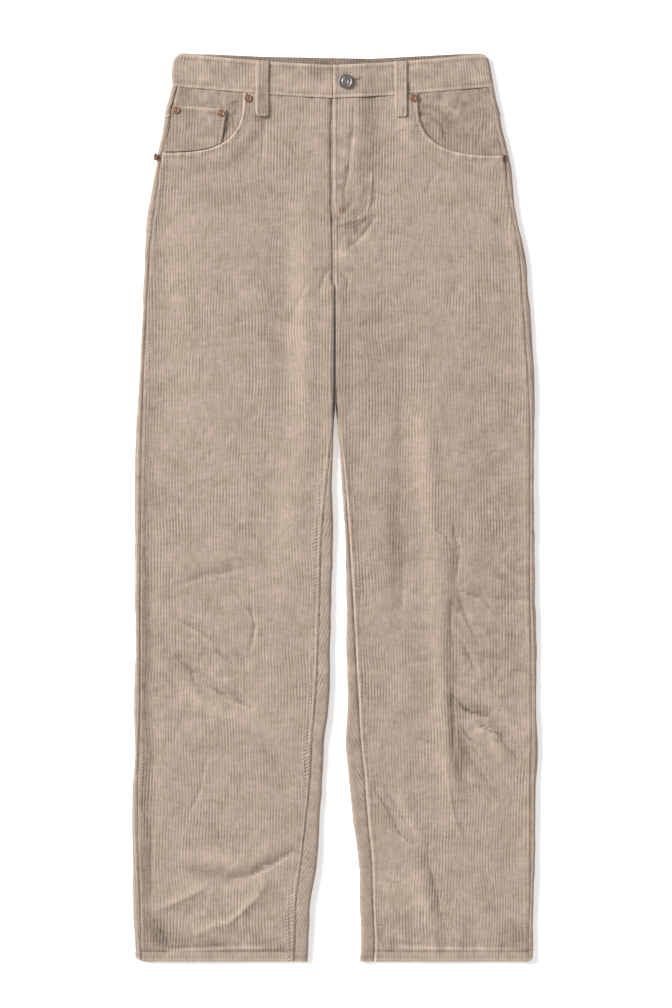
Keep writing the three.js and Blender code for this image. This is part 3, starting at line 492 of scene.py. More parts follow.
def front_height(side, across, level):
    """Outer skin of the front: its rest height, raised at its rolled edges, with all folds and gathers."""
    x = side * across
    under = under_lift(x, level)
    edge_rise = 2 * ROLL - REST
    height = REST + under / 2 + 0.5 * smoothstep(970, 1005, level)
    height = height + edge_rise * hump(outer_roll(side, level) - across, OUTER_REACH)
    inner_hump = edge_rise * crotch_turn(level) * hump(across - inner_roll(side, level), INNER_REACH)
    height = height + np.where(level < CROTCH + CROTCH_EASE, inner_hump, 0)
    height += fold_height(x, level, FOLDS)
    height += 1.5 * fold_height(x, level, CREASES, lambda away: np.exp(-np.abs(1.25 * away) ** 1.3))
    height -= 0.4 * fold_height(x - LIP[0], level - LIP[1], CREASES)
    height += fold_height(x, level, CRUSHED)
    lively = mix(1, 0.55, smoothstep(520, 820, level))
    height += 0.9 * lively * soft_noise(x / 62 + level / 210 + 9, level / 44, 11)
    height += 0.6 * lively * soft_noise(x / 24 + level / 90 + 9, level / 31, 12)
    height += 0.28 * lively * soft_noise(x / 10 + 40, level / 14, 13)
    height += 0.2 * soft_noise(x / 6.5 + 70, level / 8.5, 14)
    height += gathers(side_seam(side, level) - across, level, 7, 9, 0.4, 21)
    height += gathers(across - inner_roll(side, level) - inseam(side, level), level, 9, 7, 0.5, 22)
    height += gathers(level - HEM_DEPTH - 2, x + 300, 9, 10, 0.8, 23)
    height += gathers(front_waist(across) - level, x + 300, 9, 7, 0.4, 24)
    return np.maximum(height, under + 2 * panel_thickness(level) + LAY_GAP)


def pocket_lap(side, across, level):
    """The front rises where it lies on the pocket facing along the opening."""
    away, travelled = nearest_on_path(across, level, SCOOP_PATH[side])
    lap = (LAP_LIFT - 0.5) * (1 - smoothstep(13, 31, away))
    return lap + gathers(away - 4, travelled, 5, 5, 0.45, 25)


def fly_lap(across, level):
    """The left front rises where it lies on the right one."""
    line = fly_line(level)
    lap = LAP_LIFT * (1 - smoothstep(line - 18, line + 8, across))
    lap = lap * smoothstep(FLY_FOOT - 24, FLY_FOOT + 8, level)
    near_fly = smoothstep(FLY_FOOT - 8, FLY_FOOT, level)
    stitched = gathers(across - line, level, 6, 6, 0.5, 26) + gathers(across - 5, level, 5, 6, 0.3, 27)
    return lap + near_fly * stitched


def front_skin(side, across, level):
    """The outer skin of the front with its laps on facing and fly."""
    raised = front_height(side, across, level) + pocket_lap(side, across, level)
    return raised + fly_lap(across, level) if side > 0 else raised


def closing(level):
    """Where the legs lie against each other below the crotch, each inner roll bulges until the two touch."""
    between = table_at(INNER_EDGE, 1, level) + table_at(INNER_EDGE, 2, level)
    return np.maximum(0, between / 2 - 0.1) * smoothstep(628, 655, level)


def tube_point(side, along, level, skin):
    """A point of the flattened tube: along is the cloth measured from the centre line over the front, round
    the outer roll, back along the underside and up round the inner roll. On a roll the height is half a turn
    between the skin and the underside. The corners of hem and waist are rounded off a little."""
    outer, inner = outer_roll(side, level), inner_roll(side, level)
    under_end = 2 * outer + HALF_TURN - inner
    leg = level < CROTCH + CROTCH_EASE
    places = [(along < inner) & leg, along <= outer, along <= outer + HALF_TURN, along <= under_end,
              along <= under_end + HALF_TURN]
    turn = np.select(places, [(inner - along) / ROLL, 0 * along, (along - outer) / ROLL, np.pi + 0 * along,
                              np.pi - (along - under_end) / ROLL], 0 * along)
    onward = inner + along - under_end - HALF_TURN
    middle = np.select(places, [inner, along, outer, 2 * outer + HALF_TURN - along, inner], onward)
    reach = ROLL * np.sin(turn)
    touching = reach * (1 + closing(level) / ROLL)
    across = middle + np.select(places, [-touching, 0 * along, reach, 0 * along, -touching], 0 * along)
    to_fold = outer + ROLL - across
    rounding = hump(to_fold, 5) * (smoothstep(LENGTH - 24, LENGTH, level) - 0.8 * smoothstep(-30, 0, -level))
    low = under_lift(side * middle, level)
    height = low + (skin(side, middle, level) - low) * (1 + np.cos(turn)) / 2
    return np.stack([side * across, level - LENGTH / 2 - CORNER * rounding, height], axis=-1)


def on_tube(side, skin, along_of=lambda across, level: across):
    """The place of a panel's point: a function of the distance across the panel and the level."""
    return lambda across, level: tube_point(side, along_of(across, level), level, skin)


def skin_normals(place, across, level, outward):
    """Each point's place, and its normal: the cross product of a small step across the cloth and a small step
    up it, turned to outward."""
    here = place(across, level)
    step_across = place(across + 0.5, level) - here
    step_up = place(across, level + 0.9) - here
    normal = np.cross(step_across, step_up) * outward
    return here, normal / np.linalg.norm(normal, axis=-1, keepdims=True)


def split_squares(a, b, c, d):
    """Squares with the corners a, b, c and d in turn, each as two triangles."""
    return np.concatenate([np.stack([a, b, c], -1).reshape(-1, 3), np.stack([a, c, d], -1).reshape(-1, 3)])


def grid_triangles(ids):
    """The triangles between neighbouring rows and columns of a grid of point numbers."""
    return split_squares(ids[:-1, :-1], ids[:-1, 1:], ids[1:, 1:], ids[1:, :-1])


def rim_triangles(many, few, nearest):
    """A strip between a long row of points and a short one: each long step goes to its nearest short
    point."""
    steps = np.stack([many[:-1], few[nearest[:-1]], many[1:]], -1)
    turns = np.stack([many[1:], few[nearest[:-1]], few[nearest[1:]]], -1)
    return np.concatenate([steps, turns])


def closed_mesh(name, points, triangles, attributes):
    """Makes a piece of points in millimetres. Triangles without area and points without a triangle are
    dropped, and all faces are turned if the volume they enclose comes out negative."""
    a, b, c = triangles.T
    triangles = triangles[(a != b) & (b != c) & (c != a)]
    used, flat = np.unique(triangles, return_inverse=True)
    triangles, points = flat.reshape(-1, 3), points[used]
    corners = points[triangles]
    volume = np.einsum("ij,ij->i", corners[:, 0], np.cross(corners[:, 1], corners[:, 2])).sum()
    if volume < 0:
        triangles = triangles[:, ::-1]
    mesh = bpy.data.meshes.new(name)
    mesh.from_pydata((points / 1000).tolist(), [], triangles.tolist())
    for key, values in attributes.items():
        wide = values.ndim == 2
        layer = mesh.attributes.new(key, "FLOAT_VECTOR" if wide else "FLOAT", "POINT")
        layer.data.foreach_set("vector" if wide else "value", values[used].astype(np.float32).ravel())
    mesh.shade_smooth()
    mesh.set_sharp_from_angle(angle=np.radians(55))
    piece = bpy.data.objects.new(name, mesh)
    bpy.context.scene.collection.objects.link(piece)
    return piece


def pile(x, across, level):
    """How far the wales stand up, about three quarters, with patches crushed by folding and wearing, and how
    much each wale differs from the next along its length, from -1 to 1. Both are noise."""
    patches = soft_noise(across / 17 + 7, level / 24, 31) + 0.7 * soft_noise(across / 7.5 + 7, level / 9, 33)
    each = soft_noise(np.floor(across / WALE) + 200, level / 10, 34)
    standing = np.clip(0.76 + 0.45 * patches, 0.08, 1.3)
    for centre, middle, half_width, half_height in PRESSED:
        standing = standing * (1 - 0.8 * hump(x - centre, half_width) * hump(level - middle, half_height))
    return standing, each


# where the inner skin's columns stand, as shares of the piece's width: close together at both edges
INNER_SHARES = np.array([0, 0.012, 0.04, 0.09, 0.17, 0.28, 0.42, 0.58, 0.72, 0.83, 0.91, 0.96, 0.988, 1])


def nothing(across, level):
    """0 all over the piece."""
    return 0 * across


def cloth_piece(name, place, rows, low_edge, high_edge, level_of, thickness, outward, finish, lift=0.0,
                welt=nothing, lean=nothing, steps=WALE_STEPS, depth=WALE_DEPTH, inner_painted_shade=0):
    """A wall of corduroy. Its outer skin has a few columns of points to each wale, the grooves sunk into the
    cloth along its normal, and each row is cut off at low_edge and high_edge. The inner skin is a coarse grid
    with the same rows, one thickness further in, with a tone of its own for painted shade. finish gives what
    sewing adds and the painted light and shade of the cloth: height and lightness of the cloth at each point,
    welt where a felled seam gathers it crosswise, and lean where it is cut off the grain and its wales slant.
    It returns the piece with the size and area of its cut in metres."""
    step = WALE / steps
    low, high = low_edge(rows), high_edge(rows)
    column = np.arange(np.floor(low.min() / step), np.ceil(high.max() / step) + 1)
    first = np.searchsorted(column * step, low, side="right") - 1
    last = np.searchsorted(column * step, high, side="left")
    across = np.clip(column[None, :] * step, low[:, None], high[:, None])
    level = level_of(across, rows[:, None] + 0 * across)
    here, normal = skin_normals(place, across, level, outward)
    height, tone = finish(across, level)
    shape = np.interp(np.arange(steps) * WALE_STEPS / steps, np.arange(WALE_STEPS + 1), np.r_[WALE_SHAPE, -1])
    groove = shape[(column % steps).astype(int)][None, :]
    to_edge = np.minimum(across - low[:, None], high[:, None] - across)
    standing, each = pile(here[..., 0], across, level)
    inside = smoothstep(-1.5, 5, to_edge)
    slanted = lean(across, level)
    sunk = inside * (1 - slanted) * (standing * groove - 0.18 * (1 + each) * (groove > -0.9))
    outer = here + normal * (lift + height + depth * sunk)[..., None]
    wander = 0.6 * soft_noise(across / 12 + 7, level / 15, 32)
    wander = wander + 2.6 * soft_noise(across / 45 + 7, level / 62, 35)
    outer[..., 0] += smoothstep(0, 9, to_edge) * wander
    few = low[:, None] + (high - low)[:, None] * INNER_SHARES
    few_level = level_of(few, rows[:, None] + 0 * few)
    few_here, few_normal = skin_normals(place, few, few_level, outward)
    inner = few_here + few_normal * (lift - thickness(few_level))[..., None]
    columns = len(column)
    used = np.clip(np.arange(columns)[None, :], first[:, None], last[:, None])
    outer_ids = np.arange(len(rows))[:, None] * columns + used
    inner_ids = outer.shape[0] * columns + np.arange(inner.shape[0] * inner.shape[1]).reshape(inner.shape[:2])
    triangles = [grid_triangles(outer_ids), grid_triangles(inner_ids)[:, ::-1]]
    left = np.stack([outer_ids[:, 0], inner_ids[:, 0]], 1)
    right = np.stack([inner_ids[:, -1], outer_ids[:, -1]], 1)
    triangles += [grid_triangles(left), grid_triangles(right)]
    for row, turned in ((0, 1), (-1, -1)):
        share = (across[row] - low[row]) / (high[row] - low[row])
        nearest = np.rint(np.interp(share, INNER_SHARES, np.arange(len(INNER_SHARES)))).astype(int)
        triangles.append(rim_triangles(outer_ids[row], inner_ids[row], nearest)[:, ::turned])
    points = np.concatenate([outer.reshape(-1, 3), inner.reshape(-1, 3)])
    flat_place = np.stack([across, level, welt(across, level)], -1).reshape(-1, 3)
    few_place = np.stack([few, few_level, 0 * few], -1).reshape(-1, 3)
    attributes = {"cloth": np.concatenate([flat_place, few_place]),
                  "tone": np.concatenate([tone.ravel(), np.full(few.size, inner_painted_shade)]),
                  "pile": np.concatenate([standing.ravel(), np.full(few.size, 0.7)]),
                  "lean": np.concatenate([slanted.ravel(), np.zeros(few.size)])}
    piece = closed_mesh(name, points, np.concatenate(triangles), attributes)
    area = float((np.diff(level, axis=0)[:, :-1] * np.diff(across, axis=1)[:-1]).sum()) / 1e6
    size = (float(high.max() - low.min()) / 1000, float(level.max() - level.min()) / 1000)
    return piece, size, min(area, size[0] * size[1])


def linear(colour):
    """The linear red, green and blue of an sRGB hex colour."""
    share = np.array([int(colour[i:i + 2], 16) / 255 for i in (1, 3, 5)])
    return (*np.where(share <= 0.04045, share / 12.92, ((share + 0.055) / 1.055) ** 2.4), 1)


def add_node(tree, kind, settings=None, inputs=None):
    """Adds a node with its settings. inputs gives a value to a socket, or links it where the value is another
    node's output."""
    node = tree.nodes.new(kind)
    for key, value in (settings or {}).items():
        setattr(node, key, value)
    for key, value in (inputs or {}).items():
        if isinstance(value, bpy.types.NodeSocket):
            tree.links.new(value, node.inputs[key])
        else:
            node.inputs[key].default_value = value
    return node


def new_material(name):
    """A material with its node tree and its shader."""
    material = bpy.data.materials.new(name)
    material.use_nodes = True
    return material, material.node_tree, material.node_tree.nodes["Principled BSDF"]


# how strongly a piece's own tone, its wear and painted light and shade, and the painted light and shade of the
# gathers at its seams change the lightness
TONE_SHARE = 0.36
GATHER_SHARE = 0.07


def corduroy_material(name, cloth_colour, wale_contrast):
    """Washed cotton corduroy, a cut pile woven in ridges. The eye sees dark grooves between lighter wales,
    each wale a little lighter or darker than the next, brushed patches where the pile leans, short fibres
    along the wales, and a soft sheen. Its colour is a warm grey times the lightness added up from these, from
    the piece's tone, which holds wear and painted light and shade, and from the painted gathers at its seams."""
    material, tree, shader = new_material(name)
    cloth = add_node(tree, "ShaderNodeAttribute", {"attribute_name": "cloth"})
    tone = add_node(tree, "ShaderNodeAttribute", {"attribute_name": "tone"})
    standing = add_node(tree, "ShaderNodeAttribute", {"attribute_name": "pile"})
    lean = add_node(tree, "ShaderNodeAttribute", {"attribute_name": "lean"})
    split = add_node(tree, "ShaderNodeSeparateXYZ", inputs={0: cloth.outputs["Vector"]})
    straight = add_node(tree, "ShaderNodeMath", {"operation": "DIVIDE"}, {0: split.outputs[0], 1: WALE})
    slanted = add_node(tree, "ShaderNodeMath", {"operation": "MULTIPLY_ADD"},
                       {0: split.outputs[1], 1: -LEAN / WALE, 2: straight.outputs[0]})
    count = add_node(tree, "ShaderNodeMix", inputs={"Factor": lean.outputs["Fac"], 2: straight.outputs[0],
                                                    3: slanted.outputs[0]})
    phase = add_node(tree, "ShaderNodeMath", {"operation": "PINGPONG"}, {0: count.outputs[0], 1: 0.5})
    back = add_node(tree, "ShaderNodeMapRange", {"interpolation_type": "SMOOTHSTEP"},
                    {"Value": phase.outputs[0], "From Min": 0.02, "From Max": 0.3,
                     "To Min": -0.7 * wale_contrast, "To Max": 0.3 * wale_contrast})
    # width and length in mm of one patch of each kind, its share of the lightness, and its detail
    kinds = {"wales": (WALE, 13, 0.5, 3.0), "fibres": (1.1, 3.2, 0.34, 4.0), "rubs": (11, 4.5, 0.38, 3.0),
             "brushed": (32, 22, 0.52, 4.0)}
    middle = sum(kind[2] for kind in kinds.values()) / 2
    light = add_node(tree, "ShaderNodeMath", {"operation": "MULTIPLY_ADD"},
                     {0: back.outputs[0], 1: standing.outputs["Fac"], 2: 1 - middle})
    noises = {}
    for kind, (width, length, share, detail) in kinds.items():
        scaled = add_node(tree, "ShaderNodeMapping", inputs={"Vector": cloth.outputs["Vector"],
                                                             "Scale": (1 / width, 1 / length, 1)})
        noises[kind] = add_node(tree, "ShaderNodeTexNoise", inputs={"Vector": scaled.outputs[0], "Scale": 1.0,
                                                                    "Detail": detail, "Roughness": 0.6})
        light = add_node(tree, "ShaderNodeMath", {"operation": "MULTIPLY_ADD"},
                         {0: noises[kind].outputs[0], 1: share, 2: light.outputs[0]})
    light = add_node(tree, "ShaderNodeMath", {"operation": "MULTIPLY_ADD"},
                     {0: tone.outputs["Fac"], 1: TONE_SHARE, 2: light.outputs[0]})
    # gathers across a felled seam, painted as light and shade in waves up the seam, a little uneven
    uneven = add_node(tree, "ShaderNodeMath", {"operation": "MULTIPLY_ADD"},
                      {0: noises["rubs"].outputs[0], 1: 6.0, 2: split.outputs[1]})
    uneven = add_node(tree, "ShaderNodeMath", {"operation": "MULTIPLY_ADD"},
                      {0: split.outputs[0], 1: 0.4, 2: uneven.outputs[0]})
    wave = add_node(tree, "ShaderNodeMath", {"operation": "PINGPONG"}, {0: uneven.outputs[0], 1: GATHER / 2})
    gather = add_node(tree, "ShaderNodeMath", {"operation": "MULTIPLY"},
                      {0: wave.outputs[0], 1: split.outputs[2]})
    light = add_node(tree, "ShaderNodeMath", {"operation": "MULTIPLY_ADD"},
                     {0: gather.outputs[0], 1: GATHER_SHARE, 2: light.outputs[0]})
    warm = add_node(tree, "ShaderNodeMix", {"data_type": "RGBA"},
                    {"Factor": noises["brushed"].outputs[0], 6: linear(cloth_colour[0]),
                     7: linear(cloth_colour[1])})
    lit = add_node(tree, "ShaderNodeVectorMath", {"operation": "SCALE"},
                   {0: warm.outputs[2], "Scale": light.outputs[0]})
    raised = add_node(tree, "ShaderNodeMath", {"operation": "ADD"},
                      {0: noises["fibres"].outputs[0], 1: noises["rubs"].outputs[0]})
    raised = add_node(tree, "ShaderNodeMath", {"operation": "ADD"},
                      {0: raised.outputs[0], 1: gather.outputs[0]})
    bump = add_node(tree, "ShaderNodeBump", inputs={"Height": raised.outputs[0], "Strength": 0.6,
                                                    "Distance": 0.0008})
    tree.links.new(lit.outputs[0], shader.inputs["Base Color"])
    tree.links.new(bump.outputs[0], shader.inputs["Normal"])
    shader.inputs["Roughness"].default_value = 0.95
    shader.inputs["Specular IOR Level"].default_value = 0.15
    shader.inputs["Sheen Weight"].default_value = 0.2
    shader.inputs["Sheen Roughness"].default_value = 0.45
    return material


CORDUROY = corduroy_material("washed_corduroy", ("#a89984", "#ad988f"), 0.37)


def furrow(away, height, reach, tone=0, tone_reach=None):
    """A soft furrow or ridge along a line: its height and its lightness, each a hill of the distance away."""
    return height * hump(away, reach), tone * hump(away, tone_reach or reach)


def add_up(parts):
    """The heights of all parts together, and their lightness."""
    return sum(part[0] for part in parts), sum(part[1] for part in parts)


def seam_edge(distance):
    """A cut edge turned in at a seam: it sinks over its last millimetre, and its ditch is darker."""
    return furrow(distance, -0.9, 1.2, -0.5, 1.0)


def rolled_edge(distance):
    """A folded edge: a low welt two millimetres in, worn light, which rounds off at the fold itself."""
    light = 0.85 * hump(distance - 1.3, 1.7) - 0.3 * hump(distance - 5.2, 1.5)
    return 0.45 * hump(distance - 2, 1.6) - 0.5 * hump(distance, 0.7), light


# the legs come together between these levels
LEGS_CLOSE = (590, 628)


def apart(level):
    """1 down the legs and 0 where they lie against each other, so that no ditch opens there."""
    return 1 - smoothstep(*LEGS_CLOSE, level)


def slit(level):
    """1 where the legs touch below the crotch, where painted shade darkens the cloth between them."""
    return smoothstep(622, 650, level) * (1 - smoothstep(CROTCH - 14, CROTCH + 10, level))


def crumples(x, level):
    """Small bumps in the crumpled places: two sizes of noise, by how near each place is."""
    nearness = sum(hump(x - centre, half_width) * hump(level - middle, half_height)
                   for centre, middle, half_width, half_height in CRUMPLED)
    return nearness * (soft_noise(x / 9 + 60, level / 7, 15) + 0.7 * soft_noise(x / 4.5 + 80, level / 5, 16))


# height of the crumples, their painted light and shade, and the painted shade in the slit between the legs
CRUMPLE_HEIGHT = 0.35
CRUMPLE_PAINTED_LIGHT_AND_SHADE = 0.3
SLIT_PAINTED_SHADE = -2.5


def wear_and_painted_light(x, level):
    """Lightness of the worn cloth: pale on folds and crumples and dark between them, partly pile rubbed pale
    and partly painted light and shade, painted shade along a crease with a painted highlight on its lip, and
    the pale wear, painted highlights and painted shade of the places of the table."""
    tone = FOLD_PAINTED_LIGHT_AND_WEAR * fold_height(x, level, FOLDS)
    tone = tone + CREASE_PAINTED_LIGHT_AND_SHADE * fold_height(x, level, CREASES, lambda away: rounded(1.5 * away))
    tone = tone + LIP_PAINTED_LIGHT_AND_SHADE * fold_height(x - LIP[0], level - LIP[1], CREASES, lambda away: rounded(1.3 * away))
    tone = tone + CRUSHED_PAINTED_LIGHT_AND_SHADE * fold_height(x, level, CRUSHED, lambda away: rounded(1.2 * away))
    for centre, middle, half_width, half_height, lightness in PAINTED_LIGHT_AND_WEAR_PLACES:
        tone = tone + lightness * hump(x - centre, half_width) * hump(level - middle, half_height)
    return tone + CRUMPLE_PAINTED_LIGHT_AND_SHADE * crumples(x, level)


def fly_parts(side, across, level):
    """Sewing at the fly and the front seat seam. The right front runs in under the left one and is darkened
    there with a painted shadow. The left one has a rolled edge, two stitched lines beside it and puckers
    between them, painted as light and shade."""
    above = smoothstep(CROTCH, CROTCH + 10, level)
    if side < 0:
        # painted shadow on the right front where it runs under the left one, with a small sink
        under_fly = above * hump(across + FLY_EDGE - 1.7, 1.9)
        return [(-0.8 * under_fly, -1.25 * under_fly)]
    line = fly_line(level)
    on_line = smoothstep(FLY_FOOT - 4, FLY_FOOT + 4, level)
    pulled = gathers(across - line + 3, level, 9, 6, 1.0, 28) + gathers(across - 6, level, 8, 8, 1.0, 29)
    seat_edge = above * (1 - smoothstep(FLY_FOOT, FLY_FOOT + 20, level)) * hump(across - 1.4, 1.0)
    return [[above * part for part in rolled_edge(across - FLY_EDGE)],
            (-0.2 * on_line * hump(across - line, 1.3), 0),
            (-0.2 * on_line * hump(across - line + 6, 1.3), 0),
            (0, 0.4 * on_line * pulled),
            (0.3 * seat_edge, 0.6 * seat_edge)]


def finish_front(side):
    """Sewing on a front: its seams, the rolled pocket opening and fly edge, the stitched hem and J line, the
    cloth's wear with painted light and shade on its relief, and painted shade between the legs below the
    crotch.
    """
    def finish(across, level):
        x = side * across
        seam_height, seam_tone = seam_edge(side_seam(side, level) - across)
        opening, travelled = nearest_on_path(across, level, SCOOP_PATH[side])
        waist = front_waist(across) - level
        inner = across - inner_roll(side, level) - inseam(side, level)
        leg = level < CROTCH
        parts = [(seam_height, 0.5 * seam_tone),
                 (CRUMPLE_HEIGHT * crumples(x, level), wear_and_painted_light(x, level)),
                 # the pocket opening: a rolled edge, a ditch along its first row of stitches, puckers painted
                 # lighter where they rise
                 rolled_edge(opening),
                 furrow(opening, -0.5, 1.4),
                 furrow(opening - 5.5, -0.3, 0.9, -0.12, 1.0),
                 (0, 0.4 * gathers(opening - 3, travelled, 5, 5, 1.0, 25)),
                 # the hem: a rolled edge, a dark ditch along its stitches, a low welt between them, and puckers
                 # painted lighter where they rise
                 rolled_edge(level),
                 furrow(level - HEM_DEPTH, -0.6, 1.5, -0.75),
                 (0.25 * hump(level - HEM_DEPTH + 5, 4), 0.3 * hump(level - HEM_DEPTH + 4, 2.2)),
                 (0, 0.45 * gathers(level - HEM_DEPTH - 6, x + 300, 12, 9, 1.0, 23)),
                 # the waist seam, with puckers painted lighter where they rise
                 seam_edge(waist),
                 (0, 0.35 * gathers(waist, x + 300, 8, 7, 1.0, 24)),
                 # below the crotch, painted shade between the legs
                 (0, SLIT_PAINTED_SHADE * slit(level) * hump(inner, 1.9))]
        for low, light in (rolled_edge(inner - 0.6), seam_edge(inner)):
            parts.append((apart(level) * low, np.where(leg, apart(level) * light, 0)))
        return add_up(parts + fly_parts(side, across, level))
    return finish


def front_welt(side):
    """The felled inseam gathers the front's edge over about 9 mm, most below the knee, and the side seam a
    little."""
    def welt(across, level):
        inner = across - inner_roll(side, level) - inseam(side, level)
        uneven = np.clip(0.55 + 0.9 * soft_noise(level / 26, across / 40 + 3, 62), 0, 1.4)
        felled = smoothstep(1.5, 3, inner) * (1 - smoothstep(8, 12, inner)) * (1 - smoothstep(500, 620, level))
        outer = side_seam(side, level) - across
        seamed = smoothstep(1.5, 3, outer) * (1 - smoothstep(4, 8, outer))
        return uneven * (felled + 0.5 * seamed)
    return welt


def front_inner_edge(side, level):
    """The front ends at the inseam on the leg and at the centre above it. At the fly the left front reaches
    just past the centre, and the right one runs on under it."""
    below = inner_roll(side, level) + inseam(side, level) + GAP / 2
    plain = inner_roll(side, level) - crotch_turn(level) * ROLL * np.pi / 2
    lapped = -FLY_UNDER if side < 0 else FLY_EDGE
    above = mix(plain, lapped, smoothstep(FLY_OPEN, FLY_OPEN + 22, level))
    return np.where(level < CROTCH, below, above)


def front_level(across, row):
    """Rows keep their level up to the pocket's foot and then rise to follow the waist seam."""
    waist = front_waist(0) - GAP
    return row + (front_waist(across) - GAP - waist) * smoothstep(960, waist, row)


def rows_between(low, high, step, finer=()):
    """Row levels from low to high, evenly spaced, with extra rows at the levels in finer."""
    count = int(np.ceil((high - low) / step)) + 1
    rows = np.unique(np.r_[np.linspace(low, high, count), [row for row in finer if low < row < high]])
    return rows[np.r_[True, np.diff(rows) > step / 30]]


def dress(piece, material, node, size, area):
    """A cloth piece stands for its solid and has that solid's finish. size and area, its cut, are not used."""
    piece.data.materials.append(material)
    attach(piece, "root")
    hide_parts(node)


for side, name in ((-1, "right"), (1, "left")):
    start, foot = SCOOP[side]
    near_foot = foot + np.array([0, 0.2, 0.5, 1, 1.7, 2.6, 3.8, 5.4, 7.4, 9.8])
    near_hem = np.array([0.5, 1.2, 2.2, 3.5, 10.5, 11.5, 12.5, 13.5, 15, 17])
    near_waist = np.array([1005, 1006.5, 1007.6])
    rows = rows_between(0, front_waist(0) - GAP, ROW_STEP, np.r_[near_foot, near_hem, near_waist])

    def high_edge(row):
        """The side seam up to the pocket's foot, and the pocket opening above it."""
        risen = front_level(start, row)
        return np.where(row <= foot, side_seam(side, row) - GAP / 2, scoop_across(side, risen))

    piece, size, area = cloth_piece(
        f"front_{name}_cloth", on_tube(side, front_skin), rows, lambda row: front_inner_edge(side, row),
        high_edge, front_level, panel_thickness, side, finish_front(side), welt=front_welt(side), steps=4)
    dress(piece, CORDUROY, f"front_{name}", size, area)


# Backs
# Two panels of the same corduroy, each from the yoke to the hem. They wrap round the outline onto the front at
# the side seam, and on each leg round the inner edge to the inseam.
def back_along(side):
    """The distance across a back is measured on its underside, so that its wales run straight."""
    return lambda across, level: 2 * outer_roll(side, level) + HALF_TURN - across


def back_outer_edge(side, level):
    """The side seam, as far round the outer roll as it shows on the front."""
    return 2 * outer_roll(side, level) + HALF_TURN - side_seam(side, level) - GAP / 2


def back_inner_edge(side, level):
    """The inseam round the inner roll on the leg, and the centre behind above it."""
    leg_end = inner_roll(side, level) - HALF_TURN - inseam(side, level) + GAP / 2
    body_end = inner_roll(side, level) - crotch_turn(level) * ROLL * np.pi / 2 + GAP / 2
    return np.where(level < CROTCH, leg_end, body_end)


# lightness of the strip of the back that shows beside each inseam
STRIP_TONE = {-1: -0.2, 1: 0}


def pressed(parts):
    """The underside is pressed flat: only what sinks into it is kept of the heights."""
    height, tone = add_up(parts)
    return np.minimum(0, height), tone


def finish_back(side):
    """Sewing on a back: its seams all round, the stitched hem, and painted shade between the legs below the
    crotch.
    """
    def finish(across, level):
        inner = across - back_inner_edge(side, level)
        inner_height, inner_painted_shade = seam_edge(inner)
        strip = 1 - smoothstep(-14, -8, across - inner_roll(side, level))
        return pressed([seam_edge(back_outer_edge(side, level) - across),
                        (apart(level) * inner_height, inner_painted_shade),
                        # painted shade between the legs below the crotch
                        (0, SLIT_PAINTED_SHADE * slit(level) * hump(inner, 4)),
                        (0, STRIP_TONE[side] * strip),
                        rolled_edge(level),
                        seam_edge(yoke_seam(across) - level),
                        furrow(level - HEM_DEPTH, -0.35, 1.5, -0.25, 1.6)])
    return finish


BACK_ROWS_TOP = 985


def back_level(side):
    """Rows keep their level up to the crotch and then lean over to follow the yoke seam."""
    def level_of(across, row):
        bounded = np.minimum(across, outer_roll(side, row) + 2)
        rise = smoothstep(CROTCH + CROTCH_EASE, BACK_ROWS_TOP, row)
        return row + (yoke_seam(bounded) - GAP - BACK_ROWS_TOP) * rise
    return level_of


def back_lean(side):
    """The strip of the back that shows beside the inseam is cut off the grain, and is pressed flat."""
    return lambda across, level: 1 - smoothstep(-10, -4, across - inner_roll(side, level))


for side, name in ((-1, "right"), (1, "left")):
    near_hem = (0.6, 1.6, 3, 10.5, 12, 13.5)
    near_yoke = (983, 984.2)
    rows = rows_between(0, BACK_ROWS_TOP, 5, (*near_hem, CROTCH - 1, CROTCH + 1, *near_yoke))
    piece, size, area = cloth_piece(
        f"back_{name}_cloth", on_tube(side, front_height, back_along(side)), rows,
        lambda row: back_inner_edge(side, row), lambda row: back_outer_edge(side, row), back_level(side),
        panel_thickness, -side, finish_back(side), lean=back_lean(side), steps=4)
    dress(piece, CORDUROY, f"back_{name}", size, area)


# Yokes
# Shaped pieces of the same corduroy between each back and the waistband, felled over the back's top edge.
BAND_LEVEL = 1022


def yoke_foot(side, across):
    """The yoke seam, which runs level where it goes round the outer roll."""
    return yoke_seam(np.minimum(across, outer_roll(side, YOKE_SEAM_SIDE) + 2))


def yoke_level(side):
    """Rows run from the yoke seam to the waist seam, which is the back's behind and the front's at the
    side."""
    def level_of(across, row):
        outer = outer_roll(side, BAND_LEVEL)
        turned = np.clip((across - outer) / HALF_TURN, 0, 1)
        beyond = outer - np.maximum(0, across - outer - HALF_TURN)
        high = mix(back_waist(np.minimum(across, outer)), front_waist(beyond), turned) - GAP
        return mix(yoke_foot(side, across), high, row)
    return level_of


def finish_yoke(side):
    """Sewing on a yoke: seams on three sides, and its foot folded over the back's top edge."""
    def finish(across, level):
        return pressed([seam_edge(back_outer_edge(side, level) - across), seam_edge(across),
                        seam_edge(back_waist(across) - level), rolled_edge(level - yoke_foot(side, across))])
    return finish


for side, name in ((-1, "right"), (1, "left")):
    rows = rows_between(0, 1, 0.06, (0.01, 0.03, 0.97, 0.99))

    def yoke_outer_edge(row):
        """The side seam at the level that each row has on the outer roll."""
        level = yoke_level(side)(outer_roll(side, BAND_LEVEL) + HALF_TURN, row)
        return back_outer_edge(side, level)

    piece, size, area = cloth_piece(
        f"yoke_{name}_cloth", on_tube(side, front_height, back_along(side)), rows,
        lambda row: GAP / 2 + 0 * row, yoke_outer_edge, yoke_level(side), lambda level: CLOTH + 0 * level,
        -side, finish_yoke(side), steps=4)
    dress(piece, CORDUROY, f"yoke_{name}", size, area)


# Pocket facings
# Corduroy patches behind the scooped openings, which carry the pocket bags. Their wales are a little crushed.
FACING_HIDDEN = 7
